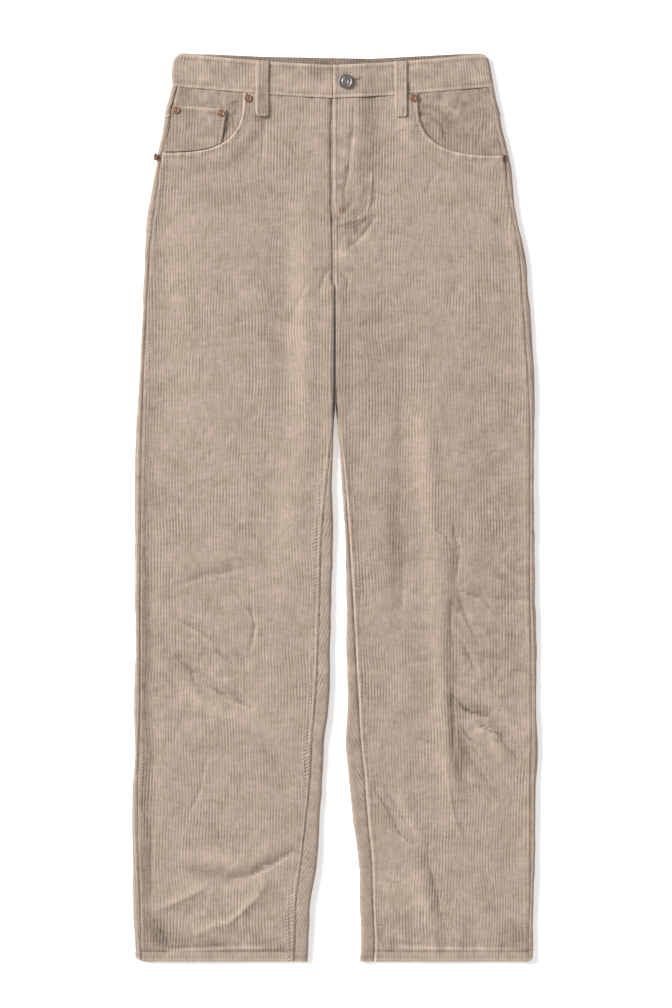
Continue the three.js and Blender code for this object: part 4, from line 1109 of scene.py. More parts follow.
# the same corduroy, darker and flatter: painted shade where the opening shades it, and wear where hands have
# rubbed it
CORDUROY_PAINTED_SHADE = corduroy_material("worn_corduroy_painted_shade", ("#a39480", "#a8938a"), 0.32)

# half width, height and path of across and level of the creases on each facing
FACING_CREASES = {
    -1: ((2.4, -1.2, ((110, 1004), (127, 999))), (2.2, -1.0, ((109, 990), (131, 987))),
         (2.2, -1.3, ((124, 994), (123, 978), (127, 966))), (2.2, -1.1, ((134, 1004), (128, 990))),
         (2.2, -1.0, ((128, 975), (136, 962))), (2.4, -1.0, ((112, 1001), (118, 986), (117, 972)))),
    1: ((2.4, -1.3, ((98, 990), (112, 989), (126, 976), (130, 960))),
        (2.4, -1.0, ((104, 999), (124, 994), (142, 978))), (2.2, 0.9, ((106, 1004), (132, 1000), (150, 986))),
        (2.2, -0.9, ((104, 972), (112, 960), (124, 953))), (2.2, -0.8, ((150, 1004), (154, 992)))),
}
# painted shade over each facing, deeper on the wearer's left
FACING_PAINTED_SHADE = {-1: -0.08, 1: -0.16}


def facing_level(side):
    """Rows run from just behind the pocket opening up to the waist seam or out to the side seam."""
    seam_levels = np.linspace(front_waist(WAIST_HALF), SCOOP[side][1] - FACING_HIDDEN, 60)
    seam_across = side_seam(side, seam_levels)

    def level_of(across, row):
        low = scoop_level(side, across + FACING_HIDDEN) - FACING_HIDDEN
        high = np.minimum(front_waist(across) - GAP, np.interp(across, seam_across, seam_levels))
        return mix(low, np.maximum(high, low + 0.4), row)
    return level_of


def finish_facing(side):
    """Sewing and wear on a facing: its two seams, puckers below the waistband, creases painted darker along
    them, crumples that fade towards the opening and are painted lighter where they rise, and painted shade
    beside the opening and over the whole facing."""
    def finish(across, level):
        waist = front_waist(across) - level
        folds = fold_height(across, level, FACING_CREASES[side], lambda away: np.exp(-np.abs(away) ** 1.4))
        crumpled = 0.7 * soft_noise(across / 11 + 20, level / 8, 43)
        crumpled = crumpled + 0.35 * soft_noise(across / 5 + 20, level / 6, 44)
        away = nearest_on_path(across, level, SCOOP_PATH[side])[0]
        sunk = smoothstep(0, 12, away) * (crumpled - 0.4)
        shaded = FACING_PAINTED_SHADE[side] - 0.12 * hump(away, 5)
        return add_up([seam_edge(side_seam(side, level) - across), seam_edge(waist),
                       (gathers(waist - 6, across, 9, 13, 0.7, 41), 0),
                       (smoothstep(-2, 4, away) * folds, 0.6 * folds),
                       (sunk, 0.5 * crumpled + shaded)])
    return finish


for side, name in ((-1, "right"), (1, "left")):
    start, foot = SCOOP[side]
    piece, size, area = cloth_piece(
        f"pocket_facing_{name}_cloth", on_tube(side, front_height), rows_between(0, 1, 0.02, (0.01, 0.99)),
        lambda row: start - FACING_HIDDEN + 0 * row, lambda row: side_seam(side, foot - 1) - GAP + 0 * row,
        facing_level(side), lambda level: CLOTH + 0 * level, side, finish_facing(side), depth=0.4)
    dress(piece, CORDUROY_PAINTED_SHADE, f"pocket_facing_{name}", size, area)


# Coin pocket
# A small patch on the wearer's right facing. Its top is turned over twice and sewn with two rows, and its foot
# goes down behind the opening.
# across of its inner edge at the foot and at the mouth, and its two stitched rows below the mouth
COIN_FOOT, COIN_MOUTH = 132, 126.5
COIN_ROWS = (8, 13)
COIN_LIFT = PATCH_CLOTH + LAY_GAP


def coin_top(across):
    """Level of its mouth, which rises towards the side seam in a straight line."""
    return mix(995.5, 1000, (across - COIN_MOUTH) / 60)


def coin_level(across, row):
    """Rows run from just above the pocket opening to the mouth."""
    low = scoop_level(-1, across) + 1.2
    return mix(low, np.maximum(coin_top(across), low + 0.5), row)


def finish_coin(across, level):
    """Sewing on the coin pocket: rolled edges at the mouth and the inner side, a ditch along each of its two
    rows with puckers between them, and a few crumples painted lighter where they rise."""
    below = coin_top(across) - level
    beside = across - mix(COIN_FOOT, COIN_MOUTH, smoothstep(950, 996, level))
    crumpled = 0.3 * soft_noise(across / 9 + 50, level / 8, 45)
    ditches = [furrow(below - away, -0.3, 0.9, -0.2, 1) for away in COIN_ROWS]
    return add_up([rolled_edge(below), rolled_edge(beside), *ditches,
                   (-0.8 * hump(beside, 1.6), 0.3 * hump(beside - 1.4, 1.2)),
                   (gathers(below - 10, across, 6, 6, 0.35, 42), 0), (crumpled, crumpled)])


coin, size, area = cloth_piece(
    "coin_pocket_cloth", on_tube(-1, front_height),
    rows_between(0, 1, 0.035, (0.01, 0.02, 0.96, 0.97, 0.98, 0.99)),
    lambda row: mix(COIN_FOOT, COIN_MOUTH, row), lambda row: side_seam(-1, mix(948, 1000, row)) - 1.2,
    coin_level, lambda level: PATCH_CLOTH + 0 * level, -1, finish_coin, lift=COIN_LIFT, depth=0.4)
dress(coin, CORDUROY_PAINTED_SHADE, "coin_pocket", size, area)


# Back pockets
# Two patches sewn under the backs with a double row, wider at the mouth and pointed at the foot. The trousers
# lie on them, so their outer skin is flat.
BACK_POCKET_TAPER = 7
BACK_POCKET_POINT = 20
BACK_POCKET_ROWS = (2.5, 8.5)


def pad_place(across, level):
    """A flat place on the surface that the trousers lie on."""
    return np.stack([across, level - LENGTH / 2, 0 * across], axis=-1)


def pocket_half(row):
    """Half the pocket's width, straight from row 0 at the foot to row 1 at the mouth."""
    return mix(BACK_POCKET_HALF - BACK_POCKET_TAPER, BACK_POCKET_HALF, row)


def pocket_level(centre):
    """Rows run from the pointed foot, two straight lines, to the level mouth."""
    def level_of(across, row):
        share = np.abs(across - centre) / BACK_POCKET_HALF
        return mix(BACK_POCKET_FOOT + BACK_POCKET_POINT * share, BACK_POCKET_TOP, row)
    return level_of


def finish_pocket(centre):
    """Sewing on a back pocket: rolled edges, and a ditch along each row at its sides and its mouth."""
    def finish(across, level):
        half = pocket_half(smoothstep(BACK_POCKET_FOOT - 1, BACK_POCKET_TOP, level))
        edges = (half - np.abs(across - centre), BACK_POCKET_TOP - level)
        ditches = [furrow(away - inset, -0.3, 0.9, -0.25, 1) for away in edges for inset in BACK_POCKET_ROWS]
        return pressed(ditches + [rolled_edge(away) for away in edges])
    return finish


for side, name in ((-1, "right"), (1, "left")):
    centre = side * BACK_POCKET_CENTRE
    piece, size, area = cloth_piece(
        f"back_pocket_{name}_cloth", pad_place, rows_between(0, 1, 0.035, (0.005, 0.015, 0.985, 0.995)),
        lambda row: centre - pocket_half(row), lambda row: centre + pocket_half(row), pocket_level(centre),
        lambda level: PATCH_CLOTH + 0 * level, -1, finish_pocket(centre), steps=4, depth=0.4)
    dress(piece, CORDUROY, f"back_pocket_{name}", size, area)


# Waistband
# One straight strip, two layers with a stiffener, its wales upright. It runs from its left end, on top at the
# centre front, round the back to its right end underneath, and is edge-stitched all round.
BAND_CLOTH = 2.8
BAND_REST = 7.4
BAND_UNDER = 30
BAND_LAP_END = 33
BAND_MIDDLE = BAND_LEVEL + BAND_DEPTH / 2
BAND_TOP_ROW = 4
BAND_FOOT_ROW = 3.5
# length along the strip from the centre front: where its left half ends at the centre back, and where the
# right half is back at the centre front
LEFT_END = 2 * outer_roll(1, BAND_MIDDLE) + HALF_TURN
BAND_ROUND = LEFT_END + 2 * outer_roll(-1, BAND_MIDDLE) + HALF_TURN
# the stretch that the trousers lie on
BAND_UNDERNEATH = (190, 590)


def band_skin(side, across, level):
    """The waistband's outer skin: raised at the rolled edge and over the back loops, a little wavy."""
    rolled = (2 * ROLL - BAND_REST) * hump(outer_roll(side, level) - across, OUTER_REACH)
    x = side * across
    wavy = 0.35 * soft_noise(x / 26 + 9, level / 18, 51) + 0.3 * soft_noise(x / 8 + 30, level / 9, 52)
    return BAND_REST + rolled + under_lift(x, level) / 2 + wavy - 0.25


def band_lap_skin(side, across, level):
    """The left end of the waistband rises where it lies on the right end."""
    lap = (BAND_CLOTH + LAY_GAP) * (1 - smoothstep(BAND_LAP_END, BAND_LAP_END + 24, across))
    return band_skin(side, across, level) + lap


def band_place(run, level):
    """run is the length along the strip: the left half from the centre front, then the right half back to it.
    Before the outer roll, on it and behind it the strip is stretched to the width that the hip has there."""
    points = []
    for side, along, skin in ((1, run, band_lap_skin), (-1, BAND_ROUND - run, band_skin)):
        middle = outer_roll(side, BAND_MIDDLE)
        here = outer_roll(side, level)
        past = (along - middle - HALF_TURN) / middle
        moved = np.where(along <= middle, along + (here - middle) * np.clip(along / middle, 0, 1),
                         np.where(along < middle + HALF_TURN, along + here - middle,
                                  here + HALF_TURN + here * past))
        points.append(tube_point(side, moved, level, skin))
    return np.where((run <= LEFT_END)[..., None], points[0], points[1])


def band_top(run):
    """The band's top edge dips at the centre front, and a little less at the centre back."""
    top = 0 * run
    for side, along, here in ((1, run, run <= LEFT_END), (-1, BAND_ROUND - run, run > LEFT_END)):
        outer = outer_roll(side, BAND_MIDDLE)
        turn = np.clip((along - outer) / HALF_TURN, 0, 1)
        behind = np.abs(outer - np.maximum(0, along - outer - HALF_TURN))
        edge = mix(front_top(np.minimum(along, outer)), back_top(behind), turn)
        top = np.where(here, edge, top)
    return top


def band_level(run, row):
    """Rows run from the strip's foot to its top."""
    return band_top(run) - BAND_DEPTH * (1 - row)


BUTTONHOLE = ((11.5, 1031.0), (30, 1030.6))


def finish_band(run, level):
    """Sewing on the waistband: rolled edges, a ditch along each stitched row with puckers beside it painted
    lighter where they rise, the buttonhole with its raised lips, crumples painted as light and shade only,
    and a painted shadow where the right end goes under the left."""
    top = band_top(run) - level
    foot = BAND_DEPTH - top
    hole = nearest_on_path(run, level, BUTTONHOLE)[0]
    pulled = gathers(foot - 4, run, 6, 6, 0.4, 53) + gathers(top - 4, run, 6, 7, 0.35, 54)
    crumpled = 0.6 * soft_noise(run / 24 + 3, level / 11, 55) + 0.5 * soft_noise(run / 7 + 3, level / 6, 56)
    height, tone = add_up([
        rolled_edge(foot), rolled_edge(top), rolled_edge(run - (FLY_EDGE - GAP)),
        furrow(top - BAND_TOP_ROW, -0.3, 0.9, -0.2, 1), furrow(foot - BAND_FOOT_ROW, -0.3, 0.9, -0.2, 1),
        (-1.3 * hump(hole, 1.0) + 0.4 * hump(hole - 2.2, 1.0), -1.4 * hump(hole, 1.1)),
        (pulled, 0.35 * pulled + 0.5 * crumpled),
        # painted shadow where the right end goes under the left
        (0, -1.3 * hump(BAND_ROUND - run - 3.4, 1.9))])
    underneath = (run > BAND_UNDERNEATH[0]) & (run < BAND_UNDERNEATH[1])
    return np.where(underneath, np.minimum(height, 0), height), tone


band_rows = rows_between(0, 1, 0.062, (0.008, 0.02, 0.035, 0.965, 0.98, 0.992))
# its inner skin is darkened with painted shade, which shows where the inside of the back rises above the front
waistband, size, area = cloth_piece(
    "waistband_cloth", band_place, band_rows, lambda row: FLY_EDGE - GAP + 0 * row,
    lambda row: BAND_ROUND + BAND_UNDER + 0 * row, band_level, lambda level: BAND_CLOTH + 0 * level, 1,
    finish_band, steps=4, depth=0.38, inner_painted_shade=-1.0)
dress(waistband, CORDUROY, "waistband", size, area)


# Belt loops
# Straps folded in three and sewn along both sides, tacked over the waistband at the top and below its seam.
# Two lie in front, three behind.
FRONT_LOOPS = {"belt_loop_front_right": (-1, 85), "belt_loop_front_left": (1, 77)}
LOOP_SLOPE = 0.15
LOOP_CORNER = 4
LOOP_ROW = 2.6
LOOP_TACK = 5
LOOP_LIFT = LOOP_CLOTH + LAY_GAP


def loop_skin(side, across, level):
    """The loop bridges the step at the waist seam: on either side of it, whichever is higher of the cloth
    below and a slope down from the seam."""
    seam = front_waist(across)
    over_band = np.maximum(band_skin(side, across, level),
                           front_skin(side, across, seam) - LOOP_SLOPE * (level - seam))
    below = np.maximum(front_skin(side, across, level),
                       band_skin(side, across, seam) - LOOP_SLOPE * (seam - level))
    return np.where(level > seam, over_band, below)


def finish_loop(centre, foot):
    """Sewing on a front loop: a low dome painted lighter in the middle and darker towards its sides, as light
    falls on a rounded strap, rounded sides with a stitched ditch along each, a tack near its foot and a few
    crumples painted lighter where they rise."""
    def finish(across, level):
        edge = LOOP_WIDTH / 2 - np.abs(across - centre)
        domed = 0.35 * (1 - (across - centre) ** 2 / (LOOP_WIDTH / 2) ** 2)
        crumpled = 0.25 * soft_noise(across / 6 + 90, level / 5, 61)
        return add_up([(domed, 1.2 * domed - 0.2), (crumpled, 0.5 * crumpled), rolled_edge(edge),
                       furrow(edge, -0.85, 1.6), furrow(edge - LOOP_ROW, -0.3, 0.8, -0.2, 0.9),
                       furrow(level - foot - LOOP_TACK, -0.5, 1.2, -0.3, 1.4)])
    return finish


for node, (side, centre) in FRONT_LOOPS.items():
    foot = front_top(centre) - LOOP_LENGTH
    rows = rows_between(foot + 0.05, front_top(centre), 2.2, foot + np.array([0.4, 1, 2, 3]))

    def loop_half(row):
        """Half the loop's width: worn a little uneven, and rounded off at the corners of its foot."""
        bend = np.clip((LOOP_CORNER - row + foot) / LOOP_CORNER, 0, 1)
        worn = 0.5 * soft_noise(row / 9, 0 * row + centre, 63)
        return LOOP_WIDTH / 2 - 0.35 + worn - LOOP_CORNER * (1 - np.sqrt(1 - bend ** 2))

    piece, size, area = cloth_piece(
        f"{node}_cloth", on_tube(side, loop_skin), rows, lambda row: centre - loop_half(row),
        lambda row: centre + loop_half(row), lambda across, row: row, lambda level: LOOP_CLOTH + 0 * level,
        side, finish_loop(centre, foot), lift=LOOP_LIFT, depth=0.25)
    dress(piece, CORDUROY, node, size, area)

for node, centre in BACK_LOOPS.items():
    top = back_top(centre)

    def finish_flat_loop(across, level):
        """Sewing on a back loop: rounded sides with a stitched ditch along each."""
        edge = LOOP_WIDTH / 2 - np.abs(across - centre)
        return pressed([rolled_edge(edge), furrow(edge - LOOP_ROW, -0.3, 0.8)])

    piece, size, area = cloth_piece(
        f"{node}_cloth", pad_place, rows_between(top - LOOP_LENGTH, top, 3),
        lambda row: centre - LOOP_WIDTH / 2 + 0 * row, lambda row: centre + LOOP_WIDTH / 2 + 0 * row,
        lambda across, row: row, lambda level: LOOP_CLOTH + 0 * level, -1, finish_flat_loop, depth=0.25)
    dress(piece, CORDUROY, node, size, area)


# Topstitching
# Beige thread, a shade lighter than the cloth, in stitches of about 3 mm: two rows on the pocket openings, the
# J of the fly, the inseams, the coin pocket, the back pockets, the yoke seams and the seat behind, and one row
# elsewhere.
STITCH = 3.1
STITCH_PITCH = 3.6
THREAD_RADIUS = 0.32
# how far the thread lies out of the cloth where it is pressed flat, and where it is sewn over a hem
PRESSED_IN = -0.4
HEM_ROW = 10.6
DOUBLE_ROW = (2.6, 8.8)


def thread_material(name, dark, light):
    """Spun polyester sewing thread, dyed and dull. Its twist gives the eye light and dark specks about 1 mm
    apart, drawn as noise."""
    material, tree, shader = new_material(name)
    place = add_node(tree, "ShaderNodeTexCoord")
    twist = add_node(tree, "ShaderNodeTexNoise", inputs={"Vector": place.outputs["Object"], "Scale": 900.0,
                                                         "Detail": 2.0})
    colour = add_node(tree, "ShaderNodeMix", {"data_type": "RGBA"},
                      {"Factor": twist.outputs[0], 6: linear(dark), 7: linear(light)})
    tree.links.new(colour.outputs[2], shader.inputs["Base Color"])
    shader.inputs["Roughness"].default_value = 0.8
    return material


BEIGE_THREAD = thread_material("beige_polyester_thread", "#b5a393", "#d2c3b5")

# share of the stitch's length, thickness as a share of the thread's, and height of each ring of a stitch
STITCH_RINGS = ((0, 0.35, -0.35), (0.25, 0.95, 0), (0.75, 0.95, 0), (1, 0.35, -0.35))
STITCH_SIDES = 5


def stitches_along(place, across, level, outward, lift):
    """Points and triangles of stitches along a line: each is a five-sided tube, thick in the middle, whose
    ends dive into the cloth."""
    here, normal = skin_normals(place, across, level, outward)
    here = here + normal * lift
    travelled = np.r_[0, np.cumsum(np.linalg.norm(np.diff(here, axis=0), axis=1))]
    starts = np.arange(0.5, travelled[-1] - STITCH, STITCH_PITCH)

    def sample(values, at):
        return np.stack([np.interp(at, travelled, values[:, i]) for i in range(3)], -1)

    first = sample(here, starts)
    last = sample(here, starts + STITCH)
    up = sample(normal, starts + STITCH / 2)
    forward = last - first
    aside = np.cross(forward, up)
    aside /= np.linalg.norm(aside, axis=-1, keepdims=True)
    angle = np.arange(STITCH_SIDES) * 2 * np.pi / STITCH_SIDES
    ring = aside[:, None] * np.cos(angle)[None, :, None] + up[:, None] * np.sin(angle)[None, :, None]
    rings = []
    for share, thick, sink in STITCH_RINGS:
        centre = first + forward * share + up * sink
        rings.append(centre[:, None] + THREAD_RADIUS * thick * ring)
    points = np.stack(rings, 1)
    ids = np.arange(points[..., 0].size).reshape(points.shape[:3])
    around = np.roll(ids, -1, axis=2)
    triangles = [split_squares(ids[:, :-1], around[:, :-1], around[:, 1:], ids[:, 1:])]
    for fan, turned in ((ids[:, 0], -1), (ids[:, -1], 1)):
        for corner in range(1, STITCH_SIDES - 1):
            cap = np.stack([fan[:, 0], fan[:, corner], fan[:, corner + 1]], -1)
            triangles.append(cap[:, ::turned])
    return points.reshape(-1, 3), np.concatenate(triangles)


def thread_piece(name, lines, thread=BEIGE_THREAD):
    """One mesh of all the stitches along the lines: place, across, level, outward and lift of each."""
    points, triangles, count = [], [], 0
    for line in lines:
        more, faces = stitches_along(*line)
        points.append(more)
        triangles.append(faces + count)
        count += len(more)
    piece = closed_mesh(name, np.concatenate(points), np.concatenate(triangles), {})
    piece.data.materials.append(thread)
    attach(piece, "root")


def scoop_row(side, inside):
    """A line inside the pocket opening, away from it by inside, square to it."""
    across, level = scoop_point(side, np.linspace(0.02, 0.985, 160))
    run = np.stack([np.gradient(across), np.gradient(level)], -1)
    run /= np.linalg.norm(run, axis=-1, keepdims=True)
    return across + run[:, 1] * inside, level - run[:, 0] * inside


def steps_between(low, high, step=2.0):
    """Evenly spaced values from low to high, about one step apart."""
    return np.linspace(low, high, max(2, int(abs(high - low) / step)))


def fly_lines(place):
    """The J of the fly, straight down from the waistband and then a quarter of an ellipse, with a second row
    inside it, the seat seam's row below it and the row along the left front's edge."""
    turn = np.linspace(0, np.pi / 2, 60)
    straight = steps_between(front_waist(40) - 2, FLY_FOOT + FLY_WIDTH)
    j_line = np.r_[FLY_WIDTH + 0 * straight, FLY_TURN + (FLY_WIDTH - FLY_TURN) * np.cos(turn[1:])]
    j_level = np.r_[straight, FLY_FOOT + FLY_WIDTH * (1 - np.sin(turn[1:]))]
    seat = steps_between(CROTCH + 16, FLY_FOOT + 8)
    edge = steps_between(FLY_FOOT + 14, front_waist(0) - 3)
    return [(place, j_line, j_level, 1, 0),
            (place, j_line - 6, j_level + 5 * smoothstep(FLY_FOOT + 45, FLY_FOOT, j_level), 1, 0),
            (place, FLY_EDGE + 3.5 + 0 * seat, seat, 1, 0),
            (place, FLY_EDGE + 2.6 + 0 * edge, edge, 1, 0.05)]


def back_pocket_lines(centre):
    """Two rows down both sides and along the pointed foot of a back pocket, and two below its mouth."""
    lines = []
    share = np.linspace(-1, 1, 90)
    for inset in BACK_POCKET_ROWS:
        level = steps_between(BACK_POCKET_FOOT + BACK_POCKET_POINT + inset, BACK_POCKET_TOP - 2)
        half = pocket_half((level - BACK_POCKET_FOOT) / (BACK_POCKET_TOP - BACK_POCKET_FOOT)) - inset
        for way in (-1, 1):
            lines.append((pad_place, centre + way * half, level, -1, PRESSED_IN))
        foot_half = BACK_POCKET_HALF - BACK_POCKET_TAPER - inset
        foot = BACK_POCKET_FOOT + BACK_POCKET_POINT * np.abs(share) + 1.1 * inset
        lines.append((pad_place, centre + share * foot_half, foot, -1, PRESSED_IN))
    mouth = steps_between(centre - BACK_POCKET_HALF + 3, centre + BACK_POCKET_HALF - 3)
    for below in (14, 20):
        lines.append((pad_place, mouth, BACK_POCKET_TOP - below + 0 * mouth, -1, PRESSED_IN))
    return lines


for side, name in ((-1, "right"), (1, "left")):
    place = on_tube(side, front_skin)
    lines = [(place, *scoop_row(side, inside), side, 0.05) for inside in (1.9, 6.4)]
    hem = steps_between(front_inner_edge(side, 10) + 1, side_seam(side, 10) - 1)
    lines.append((place, hem, HEM_ROW + 0 * hem, side, -0.1))
    leg = steps_between(14, 636)
    for beside in (2.2, 8.5):
        lines.append((place, front_inner_edge(side, leg) + beside, leg, side, -0.05))
    if side > 0:
        lines += fly_lines(place)
    thread_piece(f"front_{name}_stitching", lines)

    place = on_tube(side, front_height, back_along(side))
    hem = steps_between(back_inner_edge(side, 10) + 1, back_outer_edge(side, 10) - 1)
    lines = [(place, hem, HEM_ROW + 0 * hem, -side, -0.35)]
    across = steps_between(3, outer_roll(side, 960))
    for above in DOUBLE_ROW:
        lines.append((place, across, yoke_seam(across) + above, -side, PRESSED_IN))
    if side > 0:
        seat = steps_between(CROTCH + 40, 1008)
        for beside in DOUBLE_ROW:
            lines.append((place, beside + 0 * seat, seat, -side, PRESSED_IN))
    thread_piece(f"back_{name}_stitching", lines)
    thread_piece(f"back_pocket_{name}_stitching", back_pocket_lines(side * BACK_POCKET_CENTRE))

place = on_tube(-1, front_height)
mouth = steps_between(134, 184)
inner = steps_between(966, 992)
inner_across = mix(COIN_FOOT, COIN_MOUTH, (inner - 950) / 46)
lines = [(place, mouth, coin_top(mouth) - away, -1, COIN_LIFT) for away in COIN_ROWS]
lines += [(place, inner_across + inside, inner, -1, COIN_LIFT) for inside in (2.4, 7)]
thread_piece("coin_pocket_stitching", lines)

run = steps_between(FLY_EDGE + 3, BAND_ROUND - 2 * HALF_TURN + 20)
row = steps_between(0.12, 0.88, 0.02)
end = FLY_EDGE + 3 + 0 * row
thread_piece("waistband_stitching", [
    (band_place, run, band_top(run) - BAND_TOP_ROW, 1, -0.25),
    (band_place, run, band_top(run) - BAND_DEPTH + BAND_FOOT_ROW, 1, -0.25),
    (band_place, end, band_level(end, row), 1, 0),
])

for node, (side, centre) in FRONT_LOOPS.items():
    place = on_tube(side, loop_skin)
    foot = front_top(centre) - LOOP_LENGTH
    run = steps_between(foot + 3, front_top(centre) - 2, 1.0)
    tack = steps_between(centre - 5, centre + 5, 1.0)
    lift = LOOP_LIFT + 0.15
    lines = [(place, centre + beside + 0 * run, run, side, lift) for beside in (-5.4, 5.4)]
    lines += [(place, tack, foot + LOOP_TACK + beside + 0 * tack, side, lift) for beside in (-0.5, 0.5)]
    thread_piece(f"{node}_stitching", lines)


# Bar tack
# A few close rows of rust-coloured polyester thread across the foot of the fly, sewn through both fronts to
# keep the opening from tearing.
RUST_THREAD = thread_material("rust_polyester_thread", "#a6836d", "#c2a390")
place = on_tube(1, front_skin)
tack = steps_between(3, 16, 1.0)
lines = [(place, tack, 873 + above + 0.25 * tack, 1, 0.25) for above in (0, 1.1, 2.2, 3.3, 4.4, 5.5)]
thread_piece("fly_bar_tack", lines, RUST_THREAD)


# Button
# A pressed-steel shank button, oxidised grey, with a raised rim and a plain ring round a low domed middle.
def turned_piece(name, node, profile, segments, metal, tilt=0, foot=None):
    """A profile of radius and height turned about the axis of its solid, standing where that solid stands.
    tilt turns it over towards x, and foot is then the place of its underside."""
    low, high = (np.array(corner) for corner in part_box(node))
    middle = (low + high) / 2
    radius, height = np.array(profile, float).T
    angle = np.arange(segments) * 2 * np.pi / segments
    ring = np.stack([radius[:, None] * np.cos(angle), radius[:, None] * np.sin(angle),
                     height[:, None] + 0 * angle], -1)
    points = ring.reshape(-1, 3)
    x = points[:, 0].copy()
    z = points[:, 2].copy()
    points[:, 0] = x * np.cos(tilt) + z * np.sin(tilt)
    points[:, 2] = z * np.cos(tilt) - x * np.sin(tilt)
    points += np.array([middle[0] * 1000, middle[1] * 1000, low[2] * 1000] if foot is None else foot)
    ids = np.arange(len(points)).reshape(len(radius), segments)
    around = np.roll(ids, -1, axis=1)
    triangles = [split_squares(ids[:-1], around[:-1], around[1:], ids[1:])]
    for end, turned in ((ids[0], -1), (ids[-1], 1)):
        fan = np.stack([np.full(segments - 2, end[0]), end[1:-1], end[2:]], -1)
        triangles.append(fan[:, ::turned])
    piece = closed_mesh(name, points, np.concatenate(triangles), {})
    piece.data.materials.append(metal)
    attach(piece, "root")
    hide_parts(node)


def metal_material(name, dark, light, roughness, wear_scale):
    """A metal whose finish is worn in small patches of noise: brighter and smoother where it is rubbed."""
    material, tree, shader = new_material(name)
    place = add_node(tree, "ShaderNodeTexCoord")
    patches = add_node(tree, "ShaderNodeTexNoise", inputs={"Vector": place.outputs["Object"],
                                                           "Scale": wear_scale, "Detail": 4.0})
    colour = add_node(tree, "ShaderNodeMix", {"data_type": "RGBA"},
                      {"Factor": patches.outputs[0], 6: linear(dark), 7: linear(light)})
    rough = add_node(tree, "ShaderNodeMapRange", inputs={"Value": patches.outputs[0],
                                                         "To Min": roughness + 0.1, "To Max": roughness - 0.1})
    tree.links.new(colour.outputs[2], shader.inputs["Base Color"])
    tree.links.new(rough.outputs[0], shader.inputs["Roughness"])
    shader.inputs["Metallic"].default_value = 1.0
    return material


# steel blackened in a bath and worn back to grey, which gives dull, broken highlights
OXIDISED_STEEL = metal_material("oxidised_steel", "#716e6b", "#a4a09d", 0.46, 400.0)
BUTTON_PROFILE = ((0.4, 0), (6.6, 0), (6.8, 0.9), (8.2, 1.5), (8.5, 2.1), (8.4, 2.8), (7.9, 3.3), (7.2, 3.4),
                  (6.7, 3.1), (6.4, 2.6), (6.0, 2.4), (4.2, 2.45), (3.9, 2.75), (3.5, 2.9), (3.1, 2.75),
                  (2.8, 2.5), (1.6, 2.6), (0.05, 2.65))
turned_piece("button_metal", "button", BUTTON_PROFILE, 48, OXIDISED_STEEL)


# Rivets
# Copper rivets hammered through the pocket corners: a domed cap with a burr in the middle. The two at the side
# seams are pulled over by the roll of the cloth and show edge-on.
RIVET_PROFILE = ((0.3, 0), (4.2, 0), (4.4, 0.4), (4.2, 0.85), (3.7, 1.15), (3.1, 1.15), (2.6, 0.8), (2.2, 0.5),
                 (1.8, 0.5), (1.5, 0.9), (1.2, 1.25), (0.8, 1.3), (0.05, 1.2))
RIVET_SEGMENTS = 24
SIDE_TILT = np.radians(60)
SIDE_SINK = 2.4
# washed copper, warm and dull with brighter rims, and a darker copy of it as painted shade for the two rivets
# that show edge-on
COPPER = metal_material("aged_copper", "#704f40", "#bd9a84", 0.6, 520.0)
COPPER_PAINTED_SHADE = metal_material("copper_painted_shade", "#5a3d30", "#946a50", 0.6, 520.0)
for node in ("rivet_right_waist", "rivet_left_waist", "rivet_coin_outer", "rivet_coin_inner"):
    turned_piece(f"{node}_copper", node, RIVET_PROFILE, RIVET_SEGMENTS, COPPER)
for node, side, across, level in (("rivet_right_side", -1, 209, 940), ("rivet_left_side", 1, 198, 938)):
    skin = front_skin(side, np.array([across]), np.array([level]))[0]
    turned_piece(f"{node}_copper", node, RIVET_PROFILE, RIVET_SEGMENTS, COPPER_PAINTED_SHADE,
                 tilt=side * SIDE_TILT, foot=(side * across, level - LENGTH / 2, skin - SIDE_SINK))


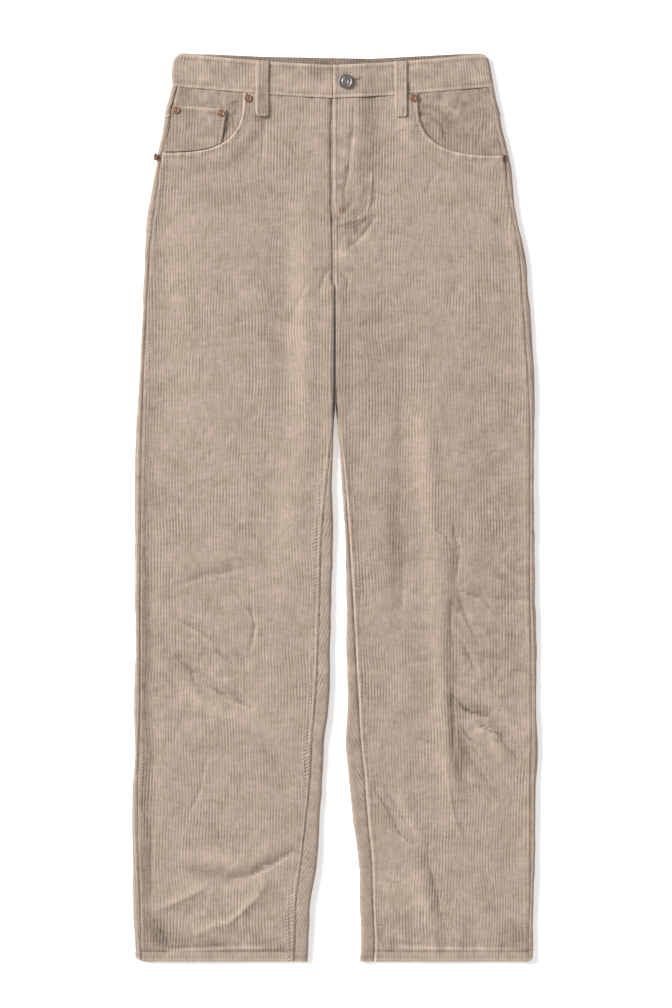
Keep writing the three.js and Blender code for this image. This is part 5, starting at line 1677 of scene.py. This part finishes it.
# Floor, lights and camera
# A plain pale floor under soft studio lights, and a camera straight above, as a flat garment is photographed.
FLOOR_HALF = 4
FLOOR_LEVEL = -0.0003
floor_mesh = bpy.data.meshes.new("floor")
floor_corners = [(x, y, FLOOR_LEVEL) for x, y in ((-FLOOR_HALF, -FLOOR_HALF), (FLOOR_HALF, -FLOOR_HALF),
                                                 (FLOOR_HALF, FLOOR_HALF), (-FLOOR_HALF, FLOOR_HALF))]
floor_mesh.from_pydata(floor_corners, [], [(0, 1, 2, 3)])
floor = bpy.data.objects.new("floor", floor_mesh)
bpy.context.scene.collection.objects.link(floor)
# matt white card, lit a little from within so that it stays pale and holds only a faint shadow
floor_material, _, floor_shader = new_material("matt_white_card")
floor_shader.inputs["Base Color"].default_value = linear("#f7f7f6")
floor_shader.inputs["Roughness"].default_value = 0.9
floor_shader.inputs["Emission Color"].default_value = (1, 1, 1, 1)
floor_shader.inputs["Emission Strength"].default_value = 0.34
floor_mesh.materials.append(floor_material)

# a broad soft lamp low on the wearer's right, so that the wales shade each other, and a weak one opposite
for name, place, size, power in (
    ("key_light", (-6.9, 3.4, 5.4), 4.2, 1130),
    ("fill_light", (1.9, -1.9, 2.2), 1.8, 19),
):
    lamp = bpy.data.lights.new(name, "AREA")
    lamp.shape = "DISK"
    lamp.size = size
    lamp.energy = power
    light = bpy.data.objects.new(name, lamp)
    light.location = place
    light.rotation_euler = (-Vector(place)).to_track_quat("-Z", "Y").to_euler()
    bpy.context.scene.collection.objects.link(light)

world = bpy.data.worlds.new("studio")
world.use_nodes = True
world.node_tree.nodes["Background"].inputs["Color"].default_value = (1, 1, 1, 1)
world.node_tree.nodes["Background"].inputs["Strength"].default_value = 0.37
bpy.context.scene.world = world
bpy.context.scene.view_settings.view_transform = "Standard"

# the photo's 1008 pixels of height, each 1.17 mm, fill the long side of the sensor at this distance
CAMERA_HEIGHT = 4.0
FRAME_LENGTH = 1008 * 1.17 / 1000
SENSOR = 36
camera_data = bpy.data.cameras.new("camera")
camera_data.sensor_width = SENSOR
camera_data.lens = SENSOR * CAMERA_HEIGHT / FRAME_LENGTH
camera_data.clip_end = 20
camera = bpy.data.objects.new("camera", camera_data)
camera.location = (0.0012, 0.0035, CAMERA_HEIGHT)
bpy.context.scene.collection.objects.link(camera)
bpy.context.scene.camera = camera
